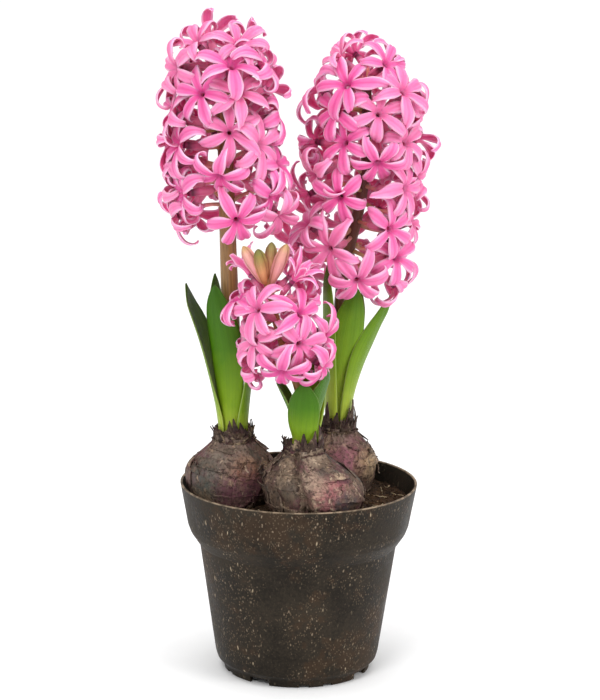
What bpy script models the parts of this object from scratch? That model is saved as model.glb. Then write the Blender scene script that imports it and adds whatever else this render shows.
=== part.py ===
"""Potted hyacinth: three forced bulbs in flower in a small nursery pot.

Metres, +Z up.  The origin is the middle of the pot's base, on the surface the pot stands on.
-Y is the front.  Azimuths are in degrees round +Z from the front, positive towards +X.
"""
import math
import random

import bmesh
import bpy
from mathutils import Matrix, Vector

# ---------------------------------------------------------------- driving dimensions
GAP = 0.0003               # running gap that keeps touching pieces apart

# pot
POT_HEIGHT = 0.0972
RIM_RADIUS = 0.0600
POT_WALL = 0.0012
BAND_FOOT_Z = 0.0745       # lower edge of the wide band below the rim
BAND_FOOT_RADIUS = 0.0559
SHOULDER_Z = 0.0670        # where the shoulder meets the body
SHOULDER_RADIUS = 0.0502
BODY_FOOT_Z = 0.0095       # where the body starts to turn in to the foot
BODY_FOOT_RADIUS = 0.0416
FOOT_RADIUS = 0.0374
FOOT_RING_WIDTH = 0.0020
FLOOR_BOTTOM_Z = 0.0034
FLOOR_THICKNESS = 0.0016
PAD_RADIUS = 0.0116        # flat pad in the middle of the base
POT_STEPS = 38
NOTCHES = 4                # big drain notches through the foot ring
NOTCH_AZIMUTH = -30.0
NOTCH_WIDTH = 0.0110
VENT_OFFSETS = (36.0, 55.0)  # small vents between two notches, degrees after a notch
VENT_WIDTH = 0.0050
VENT_HEIGHT = 0.0011
DRAIN_RADIUS = 0.0035
DRAIN_CIRCLE = 0.0300

# soil
SOIL_EDGE_Z = 0.0868
SOIL_TOP_Z = 0.0884
SOIL_BOTTOM_Z = FLOOR_BOTTOM_Z + FLOOR_THICKNESS + GAP

# bulbs
BULB_STEPS = 18
BULB_BOTTOM_Z = 0.0775
SOCKET_DEPTH = 0.0080      # how far the leaf sheaths reach down into the neck
NECK_WALL = 0.0018

# leaves
LEAF_THICKNESS = 0.0012
LEAF_ROWS = 9
LEAF_COLUMNS = 4
LEAF_SPACE = 0.0009        # between the inner and the outer sheaths
LEAF_CHANNEL_RADIUS = 0.0120
SHEATH_ANGLE = 1.35        # half of the turn an inner sheath takes round the stalk, radians
SHEATH_STEP = 0.30         # less for the outer ring

# florets: each tier is a whorl of five, turned half a space from the tier below it
TIER_FLORETS = 5
TIER_TURN = 36.0
COLLAR_WALL = 0.0015
COLLAR_HEIGHT = 0.0042
COLLAR_STEPS = 8
TUBE_BASE_RADIUS = 0.0015
TUBE_MOUTH_RADIUS = 0.0031
STAR_RADIUS = 0.0098
PETAL_THICKNESS = 0.0008
PETAL_TIP_HALF_WIDTH = 0.0011
PETAL_FALL = 0.0010        # how far a petal tip lies behind the mouth

COLORS = {
    "pot": (0.060, 0.048, 0.038),
    "soil": (0.035, 0.022, 0.014),
    "bulb": (0.200, 0.120, 0.090),
    "leaf": (0.120, 0.300, 0.040),
    "scape": (0.250, 0.180, 0.070),
    "floret": (0.850, 0.250, 0.480),
    "bud": (0.750, 0.450, 0.280),
}

# Each plant: its bulb, its stalk's way up, its leaves and its raceme.
# leaf: (name, ring, azimuth at the base, azimuth it leans to, reach, tip height, half width)
PLANTS = {
    "left": {
        "bulb": (-0.0350, -0.0060), "neck": (-0.0333, -0.0063), "bulb_radius": 0.0218,
        "widest_z": 0.1040, "neck_z": 0.1255, "neck_radius": 0.0108, "stalk_radius": 0.0049,
        "stalk_tip_radius": 0.0034,
        "stalk": ((-0.0340, -0.0065, 0.160), (-0.0362, -0.0080, 0.215),
                  (-0.0378, -0.0090, 0.262), (-0.0402, -0.0095, 0.3125)),
        "leaves": (("inner_front", 0, -28, -28, 0.0125, 0.2035, 0.0100),
                   ("inner_back", 0, 152, 152, 0.0130, 0.2000, 0.0080),
                   ("outer_left", 1, -105, -92, 0.0275, 0.1985, 0.0080),
                   ("outer_right", 1, 75, 96, 0.0180, 0.1860, 0.0075)),
        "tiers": 7, "first_mouth_z": 0.2350, "tier_pitch": 0.0124, "mouth_radius": 0.0262,
        "first_turn": 12.0, "droop": -12.0, "lift": 30.0, "crown": 4,
    },
    "centre": {
        "bulb": (0.0090, -0.0280), "neck": (0.0030, -0.0300), "bulb_radius": 0.0245,
        "widest_z": 0.1020, "neck_z": 0.1258, "neck_radius": 0.0098, "stalk_radius": 0.0034,
        "stalk_tip_radius": 0.0018,
        "stalk": ((0.0010, -0.0306, 0.148), (-0.0072, -0.0335, 0.172),
                  (-0.0135, -0.0352, 0.193), (-0.0168, -0.0360, 0.2085)),
        "leaves": (("inner_left", 0, -130, -128, 0.0115, 0.1610, 0.0075),
                   ("inner_right", 0, 58, 74, 0.0115, 0.1620, 0.0080),
                   ("outer_front", 1, -12, -4, 0.0140, 0.1570, 0.0088),
                   ("outer_back", 1, 150, 166, 0.0265, 0.1780, 0.0070)),
        "tiers": 3, "first_mouth_z": 0.1670, "tier_pitch": 0.0147, "mouth_radius": 0.0205,
        "first_turn": -14.0, "droop": -10.0, "lift": 25.0, "crown": 0,
    },
    "right": {
        "bulb": (0.0180, 0.0200), "neck": (0.0195, 0.0210), "bulb_radius": 0.0210,
        "widest_z": 0.1010, "neck_z": 0.1245, "neck_radius": 0.0097, "stalk_radius": 0.0038,
        "stalk_tip_radius": 0.0028,
        "stalk": ((0.0196, 0.0212, 0.160), (0.0208, 0.0222, 0.197), (0.0288, 0.0232, 0.234),
                  (0.0322, 0.0236, 0.262), (0.0312, 0.0240, 0.3000)),
        "leaves": (("inner_front", 0, 8, 34, 0.0150, 0.1900, 0.0090),
                   ("inner_back", 0, 188, 128, 0.0180, 0.1880, 0.0060),
                   ("outer_left", 1, -88, -100, 0.0150, 0.1950, 0.0066),
                   ("outer_right", 1, 100, 96, 0.0270, 0.1820, 0.0062)),
        "tiers": 8, "first_mouth_z": 0.2000, "tier_pitch": 0.0134, "mouth_radius": 0.0275,
        "first_turn": 11.0, "droop": -12.0, "lift": 26.0, "crown": 4,
    },
}

# Buds left closed at the top of the centre plant: (name, azimuth, tilt from upright, length)
BUD_SEAT = 0.0007          # how far a bud is drawn in to touch the stalk, nearly
CENTRE_BUDS = (("bud_left", -95, 36, 0.0225), ("bud_front", -10, 16, 0.0215),
               ("bud_back", 180, 14, 0.0220), ("bud_right", 82, 28, 0.0235))


# ---------------------------------------------------------------- scene and helpers
for old in list(bpy.data.objects):
    bpy.data.objects.remove(old, do_unlink=True)

parts = bpy.data.collections.new("potted_hyacinth")
helpers = bpy.data.collections.new("helpers")
bpy.context.scene.collection.children.link(parts)
bpy.context.scene.collection.children.link(helpers)

materials = {}
for kind, rgb in COLORS.items():
    material = bpy.data.materials.new(kind)
    material.use_nodes = True
    shader = material.node_tree.nodes["Principled BSDF"]
    shader.inputs["Base Color"].default_value = (*rgb, 1.0)
    shader.inputs["Roughness"].default_value = 0.55
    shader.inputs["Metallic"].default_value = 0.0
    materials[kind] = material


def make_object(name, data, kind=None):
    """Link an object: a part when it has a kind of material, else a helper."""
    obj = bpy.data.objects.new(name, data)
    if kind:
        parts.objects.link(obj)
        data.materials.append(materials[kind])
    else:
        helpers.objects.link(obj)
        obj.hide_render = True
        obj.display_type = "WIRE"
    return obj


def turned(name, profile, steps, kind=None):
    """A turned solid round +Z: profile is (radius, z) points, from the inside over the top."""
    bm = bmesh.new()
    verts = [bm.verts.new((radius, 0.0, z)) for radius, z in profile]
    for first, second in zip(verts, verts[1:]):
        bm.edges.new((first, second))
    mesh = bpy.data.meshes.new(name)
    bm.to_mesh(mesh)
    bm.free()
    obj = make_object(name, mesh, kind)
    screw = obj.modifiers.new("turn", "SCREW")
    screw.steps = screw.render_steps = steps
    screw.use_merge_vertices = True
    screw.merge_threshold = 0.00001
    screw.use_smooth_shade = True
    return obj


def cut(obj, cutter, operation="DIFFERENCE"):
    """Boolean obj with one cutter object."""
    boolean = obj.modifiers.new(cutter.name, "BOOLEAN")
    boolean.operation = operation
    boolean.solver = "EXACT"
    boolean.object = cutter


def direction(azimuth):
    """Unit vector in the ground plane, azimuth in degrees from the front (-Y) towards +X."""
    angle = math.radians(azimuth)
    return Vector((math.sin(angle), -math.cos(angle), 0.0))


def smooth(value):
    """Ease from 0 to 1 with level ends."""
    value = min(1.0, max(0.0, value))
    return value * value * (3.0 - 2.0 * value)


# ---------------------------------------------------------------- pot
def outer_radius(z):
    """Radius of the pot's outside at height z, from the body's foot to the rim."""
    points = ((BODY_FOOT_Z, BODY_FOOT_RADIUS), (SHOULDER_Z, SHOULDER_RADIUS),
              (BAND_FOOT_Z, BAND_FOOT_RADIUS), (POT_HEIGHT, RIM_RADIUS))
    for (z0, r0), (z1, r1) in zip(points, points[1:]):
        if z <= z1:
            break
    return r0 + (r1 - r0) * (z - z0) / (z1 - z0)


def inner_radius(z):
    """Radius of the pot's inside: the outside less the wall, stepped at the shoulder."""
    return outer_radius(z) - POT_WALL


floor_top = FLOOR_BOTTOM_Z + FLOOR_THICKNESS
foot_inside = FOOT_RADIUS - FOOT_RING_WIDTH
corner = 0.0010            # small step that rounds a corner
pot_profile = (
    (0.0, POT_WALL + 0.0006), (PAD_RADIUS - POT_WALL, POT_WALL + 0.0006),
    (PAD_RADIUS - 0.0004, floor_top), (FOOT_RADIUS - 0.0002, floor_top),
    (inner_radius(BODY_FOOT_Z) - 0.0002, BODY_FOOT_Z + 0.0005),
    (inner_radius(SHOULDER_Z) - 0.0001, SHOULDER_Z - 0.0004),
    (inner_radius(BAND_FOOT_Z), BAND_FOOT_Z + 0.0006),
    (inner_radius(POT_HEIGHT), POT_HEIGHT),
    (RIM_RADIUS - 0.0002, POT_HEIGHT), (RIM_RADIUS, POT_HEIGHT - 0.0006),
    (BAND_FOOT_RADIUS, BAND_FOOT_Z), (BAND_FOOT_RADIUS - corner, BAND_FOOT_Z - 2 * corner),
    (SHOULDER_RADIUS + corner, SHOULDER_Z), (SHOULDER_RADIUS - 0.0002, SHOULDER_Z - corner),
    (BODY_FOOT_RADIUS, BODY_FOOT_Z), (BODY_FOOT_RADIUS - corner, BODY_FOOT_Z - 0.0035),
    (FOOT_RADIUS + 0.0013, FLOOR_BOTTOM_Z + 0.0008), (FOOT_RADIUS + 0.0003, FLOOR_BOTTOM_Z - 0.0004),
    (FOOT_RADIUS - 0.0002, 0.0), (foot_inside, 0.0), (foot_inside, FLOOR_BOTTOM_Z),
    (PAD_RADIUS + 0.0002, FLOOR_BOTTOM_Z), (PAD_RADIUS, 0.0), (0.0, 0.0),
)
pot = turned("pot", pot_profile, POT_STEPS, "pot")


def radial_box(name, azimuth, width, height):
    """A box cutter that goes out through the foot ring at one azimuth."""
    bpy.ops.mesh.primitive_cube_add(size=1.0)
    box = bpy.context.active_object
    box.name = name
    bpy.context.collection.objects.unlink(box)
    helpers.objects.link(box)
    depth = 0.012
    box.data.transform(Matrix.Diagonal((width, depth, 2 * height, 1.0)))
    box.location = direction(azimuth) * (FOOT_RADIUS - 0.001)
    box.rotation_euler = (0.0, 0.0, math.radians(azimuth))
    box.hide_render = True
    box.display_type = "WIRE"
    return box


for index in range(NOTCHES):
    azimuth = NOTCH_AZIMUTH + index * 360.0 / NOTCHES
    cut(pot, radial_box("notch_cutter", azimuth, NOTCH_WIDTH, FLOOR_BOTTOM_Z - 0.0003))
    for offset in VENT_OFFSETS:
        cut(pot, radial_box("vent_cutter", azimuth + offset, VENT_WIDTH, VENT_HEIGHT))
    drain = turned("drain_cutter", ((0.0, floor_top + 0.002), (DRAIN_RADIUS, floor_top + 0.002),
                                    (DRAIN_RADIUS, 0.001), (0.0, 0.001)), 12)
    drain.location = direction(azimuth) * DRAIN_CIRCLE
    cut(pot, drain)


# ---------------------------------------------------------------- bulbs and soil
def bulb_profile(plant, grow=0.0):
    """Onion-shaped profile, with a round socket in the neck for the leaf sheaths."""
    radius = plant["bulb_radius"]
    neck_z, neck_radius, widest_z = plant["neck_z"], plant["neck_radius"], plant["widest_z"]
    socket_radius = neck_radius - NECK_WALL
    shape = []
    if grow == 0.0:
        shape += [(0.0, neck_z - SOCKET_DEPTH), (socket_radius, neck_z - SOCKET_DEPTH),
                  (socket_radius, neck_z)]
    else:
        shape += [(0.0, neck_z + grow)]
    neck_foot = neck_z - 0.0045
    shape += [(neck_radius + grow, neck_z + grow), (neck_radius + 0.0004 + grow, neck_foot)]
    for step in (0.25, 0.5, 0.75):       # concave shoulder from the neck to the widest line
        z = neck_foot + (widest_z - neck_foot) * step
        bulge = math.sin(step * math.pi / 2) ** 1.25
        shape.append((neck_radius + (radius - neck_radius) * bulge + grow, z))
    shape.append((radius + grow, widest_z))
    below = widest_z - BULB_BOTTOM_Z
    for angle in (25, 50, 72):           # rounded underside
        turn = math.radians(angle)
        shape.append((radius * math.cos(turn) + grow, widest_z - below * math.sin(turn) - grow))
    shape.append((0.0, BULB_BOTTOM_Z - grow))
    return shape


def lean_bulb(obj, plant):
    """Place a bulb and draw its neck to one side, as a crowded bulb grows."""
    body = Vector((*plant["bulb"], 0.0))
    shift = Vector((*plant["neck"], 0.0)) - body
    low, high = plant["widest_z"] - 0.004, plant["neck_z"] - SOCKET_DEPTH
    for vert in obj.data.vertices:
        vert.co += body + shift * smooth((vert.co.z - low) / (high - low))


def bulb_mesh(name, plant, grow, kind):
    """The turned bulb as a plain mesh, so that its neck can be drawn over."""
    turned_obj = turned(name + "_turned", bulb_profile(plant, grow), BULB_STEPS)
    depsgraph = bpy.context.evaluated_depsgraph_get()
    mesh = bpy.data.meshes.new_from_object(turned_obj.evaluated_get(depsgraph))
    mesh.name = name
    bpy.data.objects.remove(turned_obj, do_unlink=True)
    obj = make_object(name, mesh, kind)
    lean_bulb(obj, plant)
    return obj


soil_profile = [(0.0, SOIL_TOP_Z), (0.030, SOIL_TOP_Z - 0.0002), (0.045, SOIL_EDGE_Z + 0.0007),
                (inner_radius(SOIL_EDGE_Z) - GAP, SOIL_EDGE_Z),
                (inner_radius(BAND_FOOT_Z) - GAP, BAND_FOOT_Z + 0.0008),
                (inner_radius(SHOULDER_Z) - 0.0001 - GAP, SHOULDER_Z - 0.0004 + GAP),
                (inner_radius(BODY_FOOT_Z) - 0.0002 - GAP, BODY_FOOT_Z + 0.0006 + GAP),
                (FOOT_RADIUS - 0.0002 - 2 * GAP, SOIL_BOTTOM_Z), (0.0, SOIL_BOTTOM_Z)]
soil = turned("soil", soil_profile, POT_STEPS, "soil")

for side, plant in PLANTS.items():
    bulb_mesh(side + "_bulb", plant, 0.0, "bulb")
    cut(soil, bulb_mesh(side + "_bulb_bed", plant, GAP, None))


# ---------------------------------------------------------------- flower stalks
def stalk_path(plant):
    """Smooth stalk centre line as (point, radius) pairs, a Catmull-Rom run."""
    base = Vector((*plant["neck"], plant["neck_z"] - SOCKET_DEPTH + GAP))
    knots = [base] + [Vector(point) for point in plant["stalk"]]
    knots = [2 * knots[0] - knots[1]] + knots + [2 * knots[-1] - knots[-2]]
    path = []
    spans = len(knots) - 3
    for span in range(spans):
        p0, p1, p2, p3 = knots[span:span + 4]
        for step in range(5 if span == spans - 1 else 4):
            t = step / 4
            path.append(0.5 * (2 * p1 + (p2 - p0) * t + (2 * p0 - 5 * p1 + 4 * p2 - p3) * t * t
                               + (3 * p1 - p0 - 3 * p2 + p3) * t ** 3))
    low, high = path[0].z, path[-1].z
    wide, narrow = plant["stalk_radius"], plant["stalk_tip_radius"]
    return [(point, wide + (narrow - wide) * (point.z - low) / (high - low)) for point in path]


def stalk_at(path, z):
    """Centre, unit direction and radius of the stalk at height z."""
    for (p0, r0), (p1, r1) in zip(path, path[1:]):
        if z <= p1.z:
            break
    t = (z - p0.z) / (p1.z - p0.z)
    return p0.lerp(p1, t), (p1 - p0).normalized(), r0 + (r1 - r0) * t


def make_stalk(name, path):
    """The stalk as a tapering poly curve with filled caps."""
    curve = bpy.data.curves.new(name, "CURVE")
    curve.dimensions = "3D"
    curve.bevel_depth = 1.0
    curve.bevel_resolution = 1
    curve.use_fill_caps = True
    spline = curve.splines.new("POLY")
    spline.points.add(len(path) - 1)
    for point, (place, radius) in zip(spline.points, path):
        point.co = (*place, 1.0)
        point.radius = radius
    make_object(name, curve, "scape")


# ---------------------------------------------------------------- leaves
def leaf_width(s):
    """Half width along a leaf, 1 at the widest: broad, then a short blunt point."""
    body = 0.90 + 0.10 * smooth(s / 0.6)
    tip = math.sqrt(max(0.0, 1.0 - ((s - 0.62) / 0.38) ** 2)) if s > 0.62 else 1.0
    return body * tip


def make_leaf(side, plant, leaf):
    """A channelled strap leaf, rolled round the stalk at its base and leaning out above."""
    name, ring, base_azimuth, lean_azimuth, reach, tip_z, half_width = leaf
    base_z = plant["neck_z"] - SOCKET_DEPTH + GAP
    first_ring = plant["stalk_radius"] + 0.0005
    base_radius = first_ring + ring * (LEAF_THICKNESS + LEAF_SPACE)
    neck = Vector((*plant["neck"], base_z))
    bm = bmesh.new()
    rows = []
    for row in range(LEAF_ROWS + 1):
        s = row / LEAF_ROWS
        azimuth = base_azimuth + (lean_azimuth - base_azimuth) * smooth(s / 0.7)
        out = direction(azimuth)
        across = Vector((-out.y, out.x, 0.0))
        rise = (tip_z - base_z) * s
        lean = max(0.0, (rise - SOCKET_DEPTH) / (tip_z - base_z - SOCKET_DEPTH))
        radius = base_radius + (reach - base_radius) * lean ** 1.35
        slope = 1.35 * (reach - base_radius) * lean ** 0.35 / (tip_z - base_z - SOCKET_DEPTH)
        inward = Vector((-out.x, -out.y, slope)).normalized()
        middle = neck + out * radius + Vector((0.0, 0.0, rise))
        roll = base_radius + (LEAF_CHANNEL_RADIUS - base_radius) * smooth(lean * 2.2)
        sheath = (SHEATH_ANGLE - SHEATH_STEP * ring) * base_radius
        half = (sheath + (half_width - sheath) * smooth(lean * 1.3)) * leaf_width(s)
        if row == LEAF_ROWS:
            rows.append([bm.verts.new(middle)])
            continue
        verts = []
        for column in range(LEAF_COLUMNS + 1):
            angle = (2.0 * column / LEAF_COLUMNS - 1.0) * half / roll
            verts.append(bm.verts.new(middle + across * (roll * math.sin(angle))
                                      + inward * (roll * (1.0 - math.cos(angle)))))
        rows.append(verts)
    for lower, upper in zip(rows, rows[1:]):
        for column in range(LEAF_COLUMNS):
            if len(upper) == 1:
                bm.faces.new((lower[column], lower[column + 1], upper[0]))
            else:
                bm.faces.new((lower[column], lower[column + 1], upper[column + 1], upper[column]))
    mesh = bpy.data.meshes.new(name)
    bm.to_mesh(mesh)
    bm.free()
    obj = make_object(side + "_leaf_" + name, mesh, "leaf")
    shell = obj.modifiers.new("thickness", "SOLIDIFY")
    shell.thickness = LEAF_THICKNESS
    shell.offset = 1.0
    mesh.shade_smooth()


# ---------------------------------------------------------------- florets
def floret_mesh(name, length):
    """An open six-petalled star on a tube along +Z, with its mouth at z = length."""
    bm = bmesh.new()
    rings = []
    for radius, z in ((TUBE_BASE_RADIUS, 0.0), (TUBE_MOUTH_RADIUS, length)):
        rings.append([bm.verts.new((radius * math.cos(math.radians(60 * k)),
                                    radius * math.sin(math.radians(60 * k)), z)) for k in range(6)])
    for k in range(6):
        after = (k + 1) % 6
        bm.faces.new((rings[0][k], rings[0][after], rings[1][after], rings[1][k]))
        middle = math.radians(60 * k + 30)
        along = Vector((math.cos(middle), math.sin(middle), 0.0))
        side = Vector((-along.y, along.x, 0.0))
        end = along * STAR_RADIUS + Vector((0.0, 0.0, length - PETAL_FALL))
        right = bm.verts.new(end - side * PETAL_TIP_HALF_WIDTH)
        left = bm.verts.new(end + side * PETAL_TIP_HALF_WIDTH)
        bm.faces.new((rings[1][k], rings[1][after], left, right))
    mesh = bpy.data.meshes.new(name)
    bm.to_mesh(mesh)
    bm.free()
    return mesh


def make_tier(name, path, collar_z, mouth_radius, pitch, turn, count, seed):
    """A collar round the stalk with a whorl of florets grown out of it, joined as one body."""
    centre, axis, stalk_radius = stalk_at(path, collar_z)
    inner = (stalk_radius + 1.5 * GAP) / math.cos(math.pi / COLLAR_STEPS)
    outer = inner + COLLAR_WALL
    half = COLLAR_HEIGHT / 2
    collar = turned(name, ((inner, -half), (inner, half), (outer, half), (outer, -half),
                           (inner, -half)), COLLAR_STEPS, "floret")
    collar.location = centre
    collar.rotation_mode = "QUATERNION"
    collar.rotation_quaternion = axis.to_track_quat("Z", "Y")
    whorl = bpy.data.collections.new(name + "_whorl")
    helpers.children.link(whorl)
    rise = math.radians(pitch)
    start = inner + TUBE_BASE_RADIUS * math.sin(abs(rise)) + 0.0002
    length = (mouth_radius - start) / math.cos(rise)
    mesh = floret_mesh(name + "_floret", length)
    draw = random.Random(seed)
    for index in range(count):
        azimuth = turn + index * 360.0 / count + draw.uniform(-2.0, 2.0)
        out = direction(azimuth)
        aim = out * math.cos(rise) + Vector((0.0, 0.0, math.sin(rise)))
        floret = bpy.data.objects.new(name + "_floret", mesh)
        whorl.objects.link(floret)
        floret.hide_render = True
        floret.display_type = "WIRE"
        floret.location = centre + out * start
        floret.rotation_mode = "QUATERNION"
        floret.rotation_quaternion = aim.to_track_quat("Z", "Y")
        shell = floret.modifiers.new("thickness", "SOLIDIFY")
        shell.thickness = PETAL_THICKNESS
        shell.offset = 0.0
    union = collar.modifiers.new("whorl", "BOOLEAN")
    union.operation = "UNION"
    union.solver = "EXACT"
    union.operand_type = "COLLECTION"
    union.collection = whorl


def make_raceme(side, plant, path, seed):
    """Tiers from the drooping lowest whorl up to the lifted crown."""
    tiers, reach = plant["tiers"], plant["mouth_radius"]
    for tier in range(tiers):
        share = tier / max(1, tiers - 1)
        pitch = plant["droop"] + (plant["lift"] - plant["droop"]) * share
        mouth_z = plant["first_mouth_z"] + tier * plant["tier_pitch"]
        narrowing = 1.0 - 0.10 * max(0.0, share - 0.5) * 2
        drop = (reach * narrowing - plant["stalk_radius"]) * math.tan(math.radians(pitch))
        make_tier("%s_florets_tier_%d" % (side, tier + 1), path, mouth_z - drop,
                  reach * narrowing, pitch, plant["first_turn"] + tier * TIER_TURN,
                  TIER_FLORETS, seed + tier)
    if plant["crown"]:
        make_tier(side + "_florets_crown", path, path[-1][0].z - COLLAR_HEIGHT / 2 - 0.0012,
                  0.0140, 56.0, plant["first_turn"] + 20.0, plant["crown"], seed + tiers)


def make_bud(name, path, azimuth, tilt, length):
    """A closed bud: a small pear-shaped turned solid standing off the top of the stalk."""
    top, _, radius = stalk_at(path, path[-1][0].z - 0.0025)
    widest = 0.0033
    profile = ((0.0, length), (0.0012, length - 0.0005), (0.0024, length * 0.86),
               (widest, length * 0.62), (0.0029, length * 0.36), (0.0012, length * 0.10), (0.0, 0.0))
    bud = turned(name, profile, 8, "bud")
    lean = math.radians(tilt)
    out = direction(azimuth)
    aim = out * math.sin(lean) + Vector((0.0, 0.0, math.cos(lean)))
    foot_radius = 0.0012       # the bud narrows to this near its foot
    bud.location = top + out * (radius + GAP + foot_radius * math.cos(lean) - BUD_SEAT)
    bud.rotation_mode = "QUATERNION"
    bud.rotation_quaternion = aim.to_track_quat("Z", "Y")


for number, (side, plant) in enumerate(PLANTS.items()):
    path = stalk_path(plant)
    make_stalk(side + "_scape", path)
    for leaf in plant["leaves"]:
        make_leaf(side, plant, leaf)
    make_raceme(side, plant, path, 100 * (number + 1))
    if side == "centre":
        for name, azimuth, tilt, length in CENTRE_BUDS:
            make_bud("centre_" + name, path, azimuth, tilt, length)
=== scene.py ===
"""Three forced hyacinths in flower in a nursery pot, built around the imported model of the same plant.

Metres, +Z up, -Y is the front.  Azimuths are degrees round +Z from the front, positive towards +X.
"""
import math
import random

import bpy
import numpy as np
from mathutils import Matrix, Vector, noise


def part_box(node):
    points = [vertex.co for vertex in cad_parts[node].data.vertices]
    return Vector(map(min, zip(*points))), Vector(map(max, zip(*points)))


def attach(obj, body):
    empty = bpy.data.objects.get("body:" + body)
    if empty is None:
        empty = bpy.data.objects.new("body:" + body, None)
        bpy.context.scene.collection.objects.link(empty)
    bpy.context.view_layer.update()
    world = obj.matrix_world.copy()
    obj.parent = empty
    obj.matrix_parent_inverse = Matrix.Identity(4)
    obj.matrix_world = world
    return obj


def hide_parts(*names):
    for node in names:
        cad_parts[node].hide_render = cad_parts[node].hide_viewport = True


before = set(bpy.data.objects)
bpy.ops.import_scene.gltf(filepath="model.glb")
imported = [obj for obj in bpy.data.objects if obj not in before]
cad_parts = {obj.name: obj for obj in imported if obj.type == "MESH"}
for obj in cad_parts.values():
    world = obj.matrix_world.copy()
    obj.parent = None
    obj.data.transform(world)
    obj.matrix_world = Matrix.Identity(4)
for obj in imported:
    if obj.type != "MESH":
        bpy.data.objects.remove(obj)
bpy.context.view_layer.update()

MM = 0.001


# ------------------------------------------------------------------ studio
# A long lens looks slightly down on the plant, which stands on a wide pale floor.
# Soft lamps stand to the left and to the right in a white room; wide light falls from the ceiling.
CAMERA_PLACE = (-0.0002, -1.3432, 0.4627)
CAMERA_LENS = 141.1                # in mm
CAMERA_TILT = 77.51                # degrees up from straight down
CAMERA_ROLL = 0.71                 # degrees
CAMERA_FILM = 36.0                 # width in mm
FLOOR_HALF = 12.0
GROUND_Z = -0.2 * MM

camera_data = bpy.data.cameras.new("camera")
camera_data.sensor_width = CAMERA_FILM
camera_data.lens = CAMERA_LENS
camera = bpy.data.objects.new("camera", camera_data)
bpy.context.scene.collection.objects.link(camera)
camera.matrix_world = (Matrix.Translation(CAMERA_PLACE)
                       @ Matrix.Rotation(math.radians(CAMERA_TILT), 4, "X")
                       @ Matrix.Rotation(math.radians(CAMERA_ROLL), 4, "Z"))
bpy.context.scene.camera = camera
bpy.context.scene.view_settings.view_transform = "Standard"

room = bpy.data.worlds.new("room")
room.use_nodes = True
room.node_tree.nodes["Background"].inputs["Color"].default_value = (1.0, 1.0, 1.0, 1.0)
room.node_tree.nodes["Background"].inputs["Strength"].default_value = 0.72
bpy.context.scene.world = room


def soft_lamp(name, place, size, power, target=(0.0, 0.0, 0.17)):
    """A square area lamp that faces the plant."""
    data = bpy.data.lights.new(name, "AREA")
    data.size = size
    data.energy = power
    lamp = bpy.data.objects.new(name, data)
    bpy.context.scene.collection.objects.link(lamp)
    lamp.location = place
    lamp.rotation_euler = (Vector(place) - Vector(target)).to_track_quat("Z", "Y").to_euler()


soft_lamp("key_lamp", (-0.6, -1.5, 1.5), 0.7, 15.0)
soft_lamp("fill_lamp", (1.4, -0.9, 1.0), 0.8, 12.0)
ceiling = bpy.data.objects.new("ceiling_lamp", bpy.data.lights.new("ceiling_lamp", "SUN"))
ceiling.data.energy = 1.35
ceiling.data.angle = math.radians(50.0)
bpy.context.scene.collection.objects.link(ceiling)


def add_node(tree, kind, inputs=None, **settings):
    """Add a shader node, set its properties, then set or link its inputs by name or number."""
    made = tree.nodes.new(kind)
    for key, value in settings.items():
        setattr(made, key, value)
    for key, value in (inputs or {}).items():
        if isinstance(value, bpy.types.NodeSocket):
            tree.links.new(value, made.inputs[key])
        else:
            made.inputs[key].default_value = value
    return made


def new_material(name, **values):
    """A Principled material; the values go on the shader's own sockets."""
    material = bpy.data.materials.new(name)
    material.use_nodes = True
    shader = material.node_tree.nodes["Principled BSDF"]
    for key, value in values.items():
        shader.inputs[key.replace("_", " ").title().replace("Ior", "IOR")].default_value = value
    return material, material.node_tree, shader


def rgba(color):
    return (*color, 1.0)


def mix(tree, factor, first, second, blend="MIX"):
    """Colour mix; returns the output socket."""
    values = [rgba(c) if isinstance(c, tuple) else c for c in (first, second)]
    made = add_node(tree, "ShaderNodeMix", data_type="RGBA", blend_type=blend,
                    inputs={0: factor, 6: values[0], 7: values[1]})
    return made.outputs[2]


def math_node(tree, operation, first, second=0.5, clamp=False):
    made = add_node(tree, "ShaderNodeMath", {0: first, 1: second}, operation=operation,
                    use_clamp=clamp)
    return made.outputs[0]


def times(tree, first, second):
    return math_node(tree, "MULTIPLY", first, second)


def ease(tree, value, low, high, out_low=0.0, out_high=1.0):
    """Smooth step of a value between two limits."""
    made = add_node(tree, "ShaderNodeMapRange", {"Value": value, "From Min": low, "From Max": high,
                    "To Min": out_low, "To Max": out_high}, interpolation_type="SMOOTHSTEP")
    return made.outputs["Result"]


def ramp(tree, factor, stops):
    """Colour ramp from (position, colour) stops."""
    made = add_node(tree, "ShaderNodeValToRGB", {"Fac": factor})
    elements = made.color_ramp.elements
    while len(elements) < len(stops):
        elements.new(0.5)
    for element, (position, color) in zip(elements, stops):
        element.position = position
        element.color = rgba(color)
    return made.outputs["Color"]


def veil(tree, mask, share, under, tint):
    """Lay a tint over a colour where a mask lets it, at a share of its strength."""
    return mix(tree, times(tree, mask, share), under, tint)


def stronger(tree, mask, share, color, factor):
    """Multiply a colour by a factor where a mask lets it."""
    return veil(tree, mask, share, color, mix(tree, 1.0, color, factor, "MULTIPLY"))


def field(tree, name):
    """A number stored on the mesh's points."""
    return add_node(tree, "ShaderNodeAttribute", attribute_name=name).outputs["Fac"]


def object_place(tree):
    """A point's place in its object's own axes."""
    return add_node(tree, "ShaderNodeTexCoord").outputs["Object"]


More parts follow.
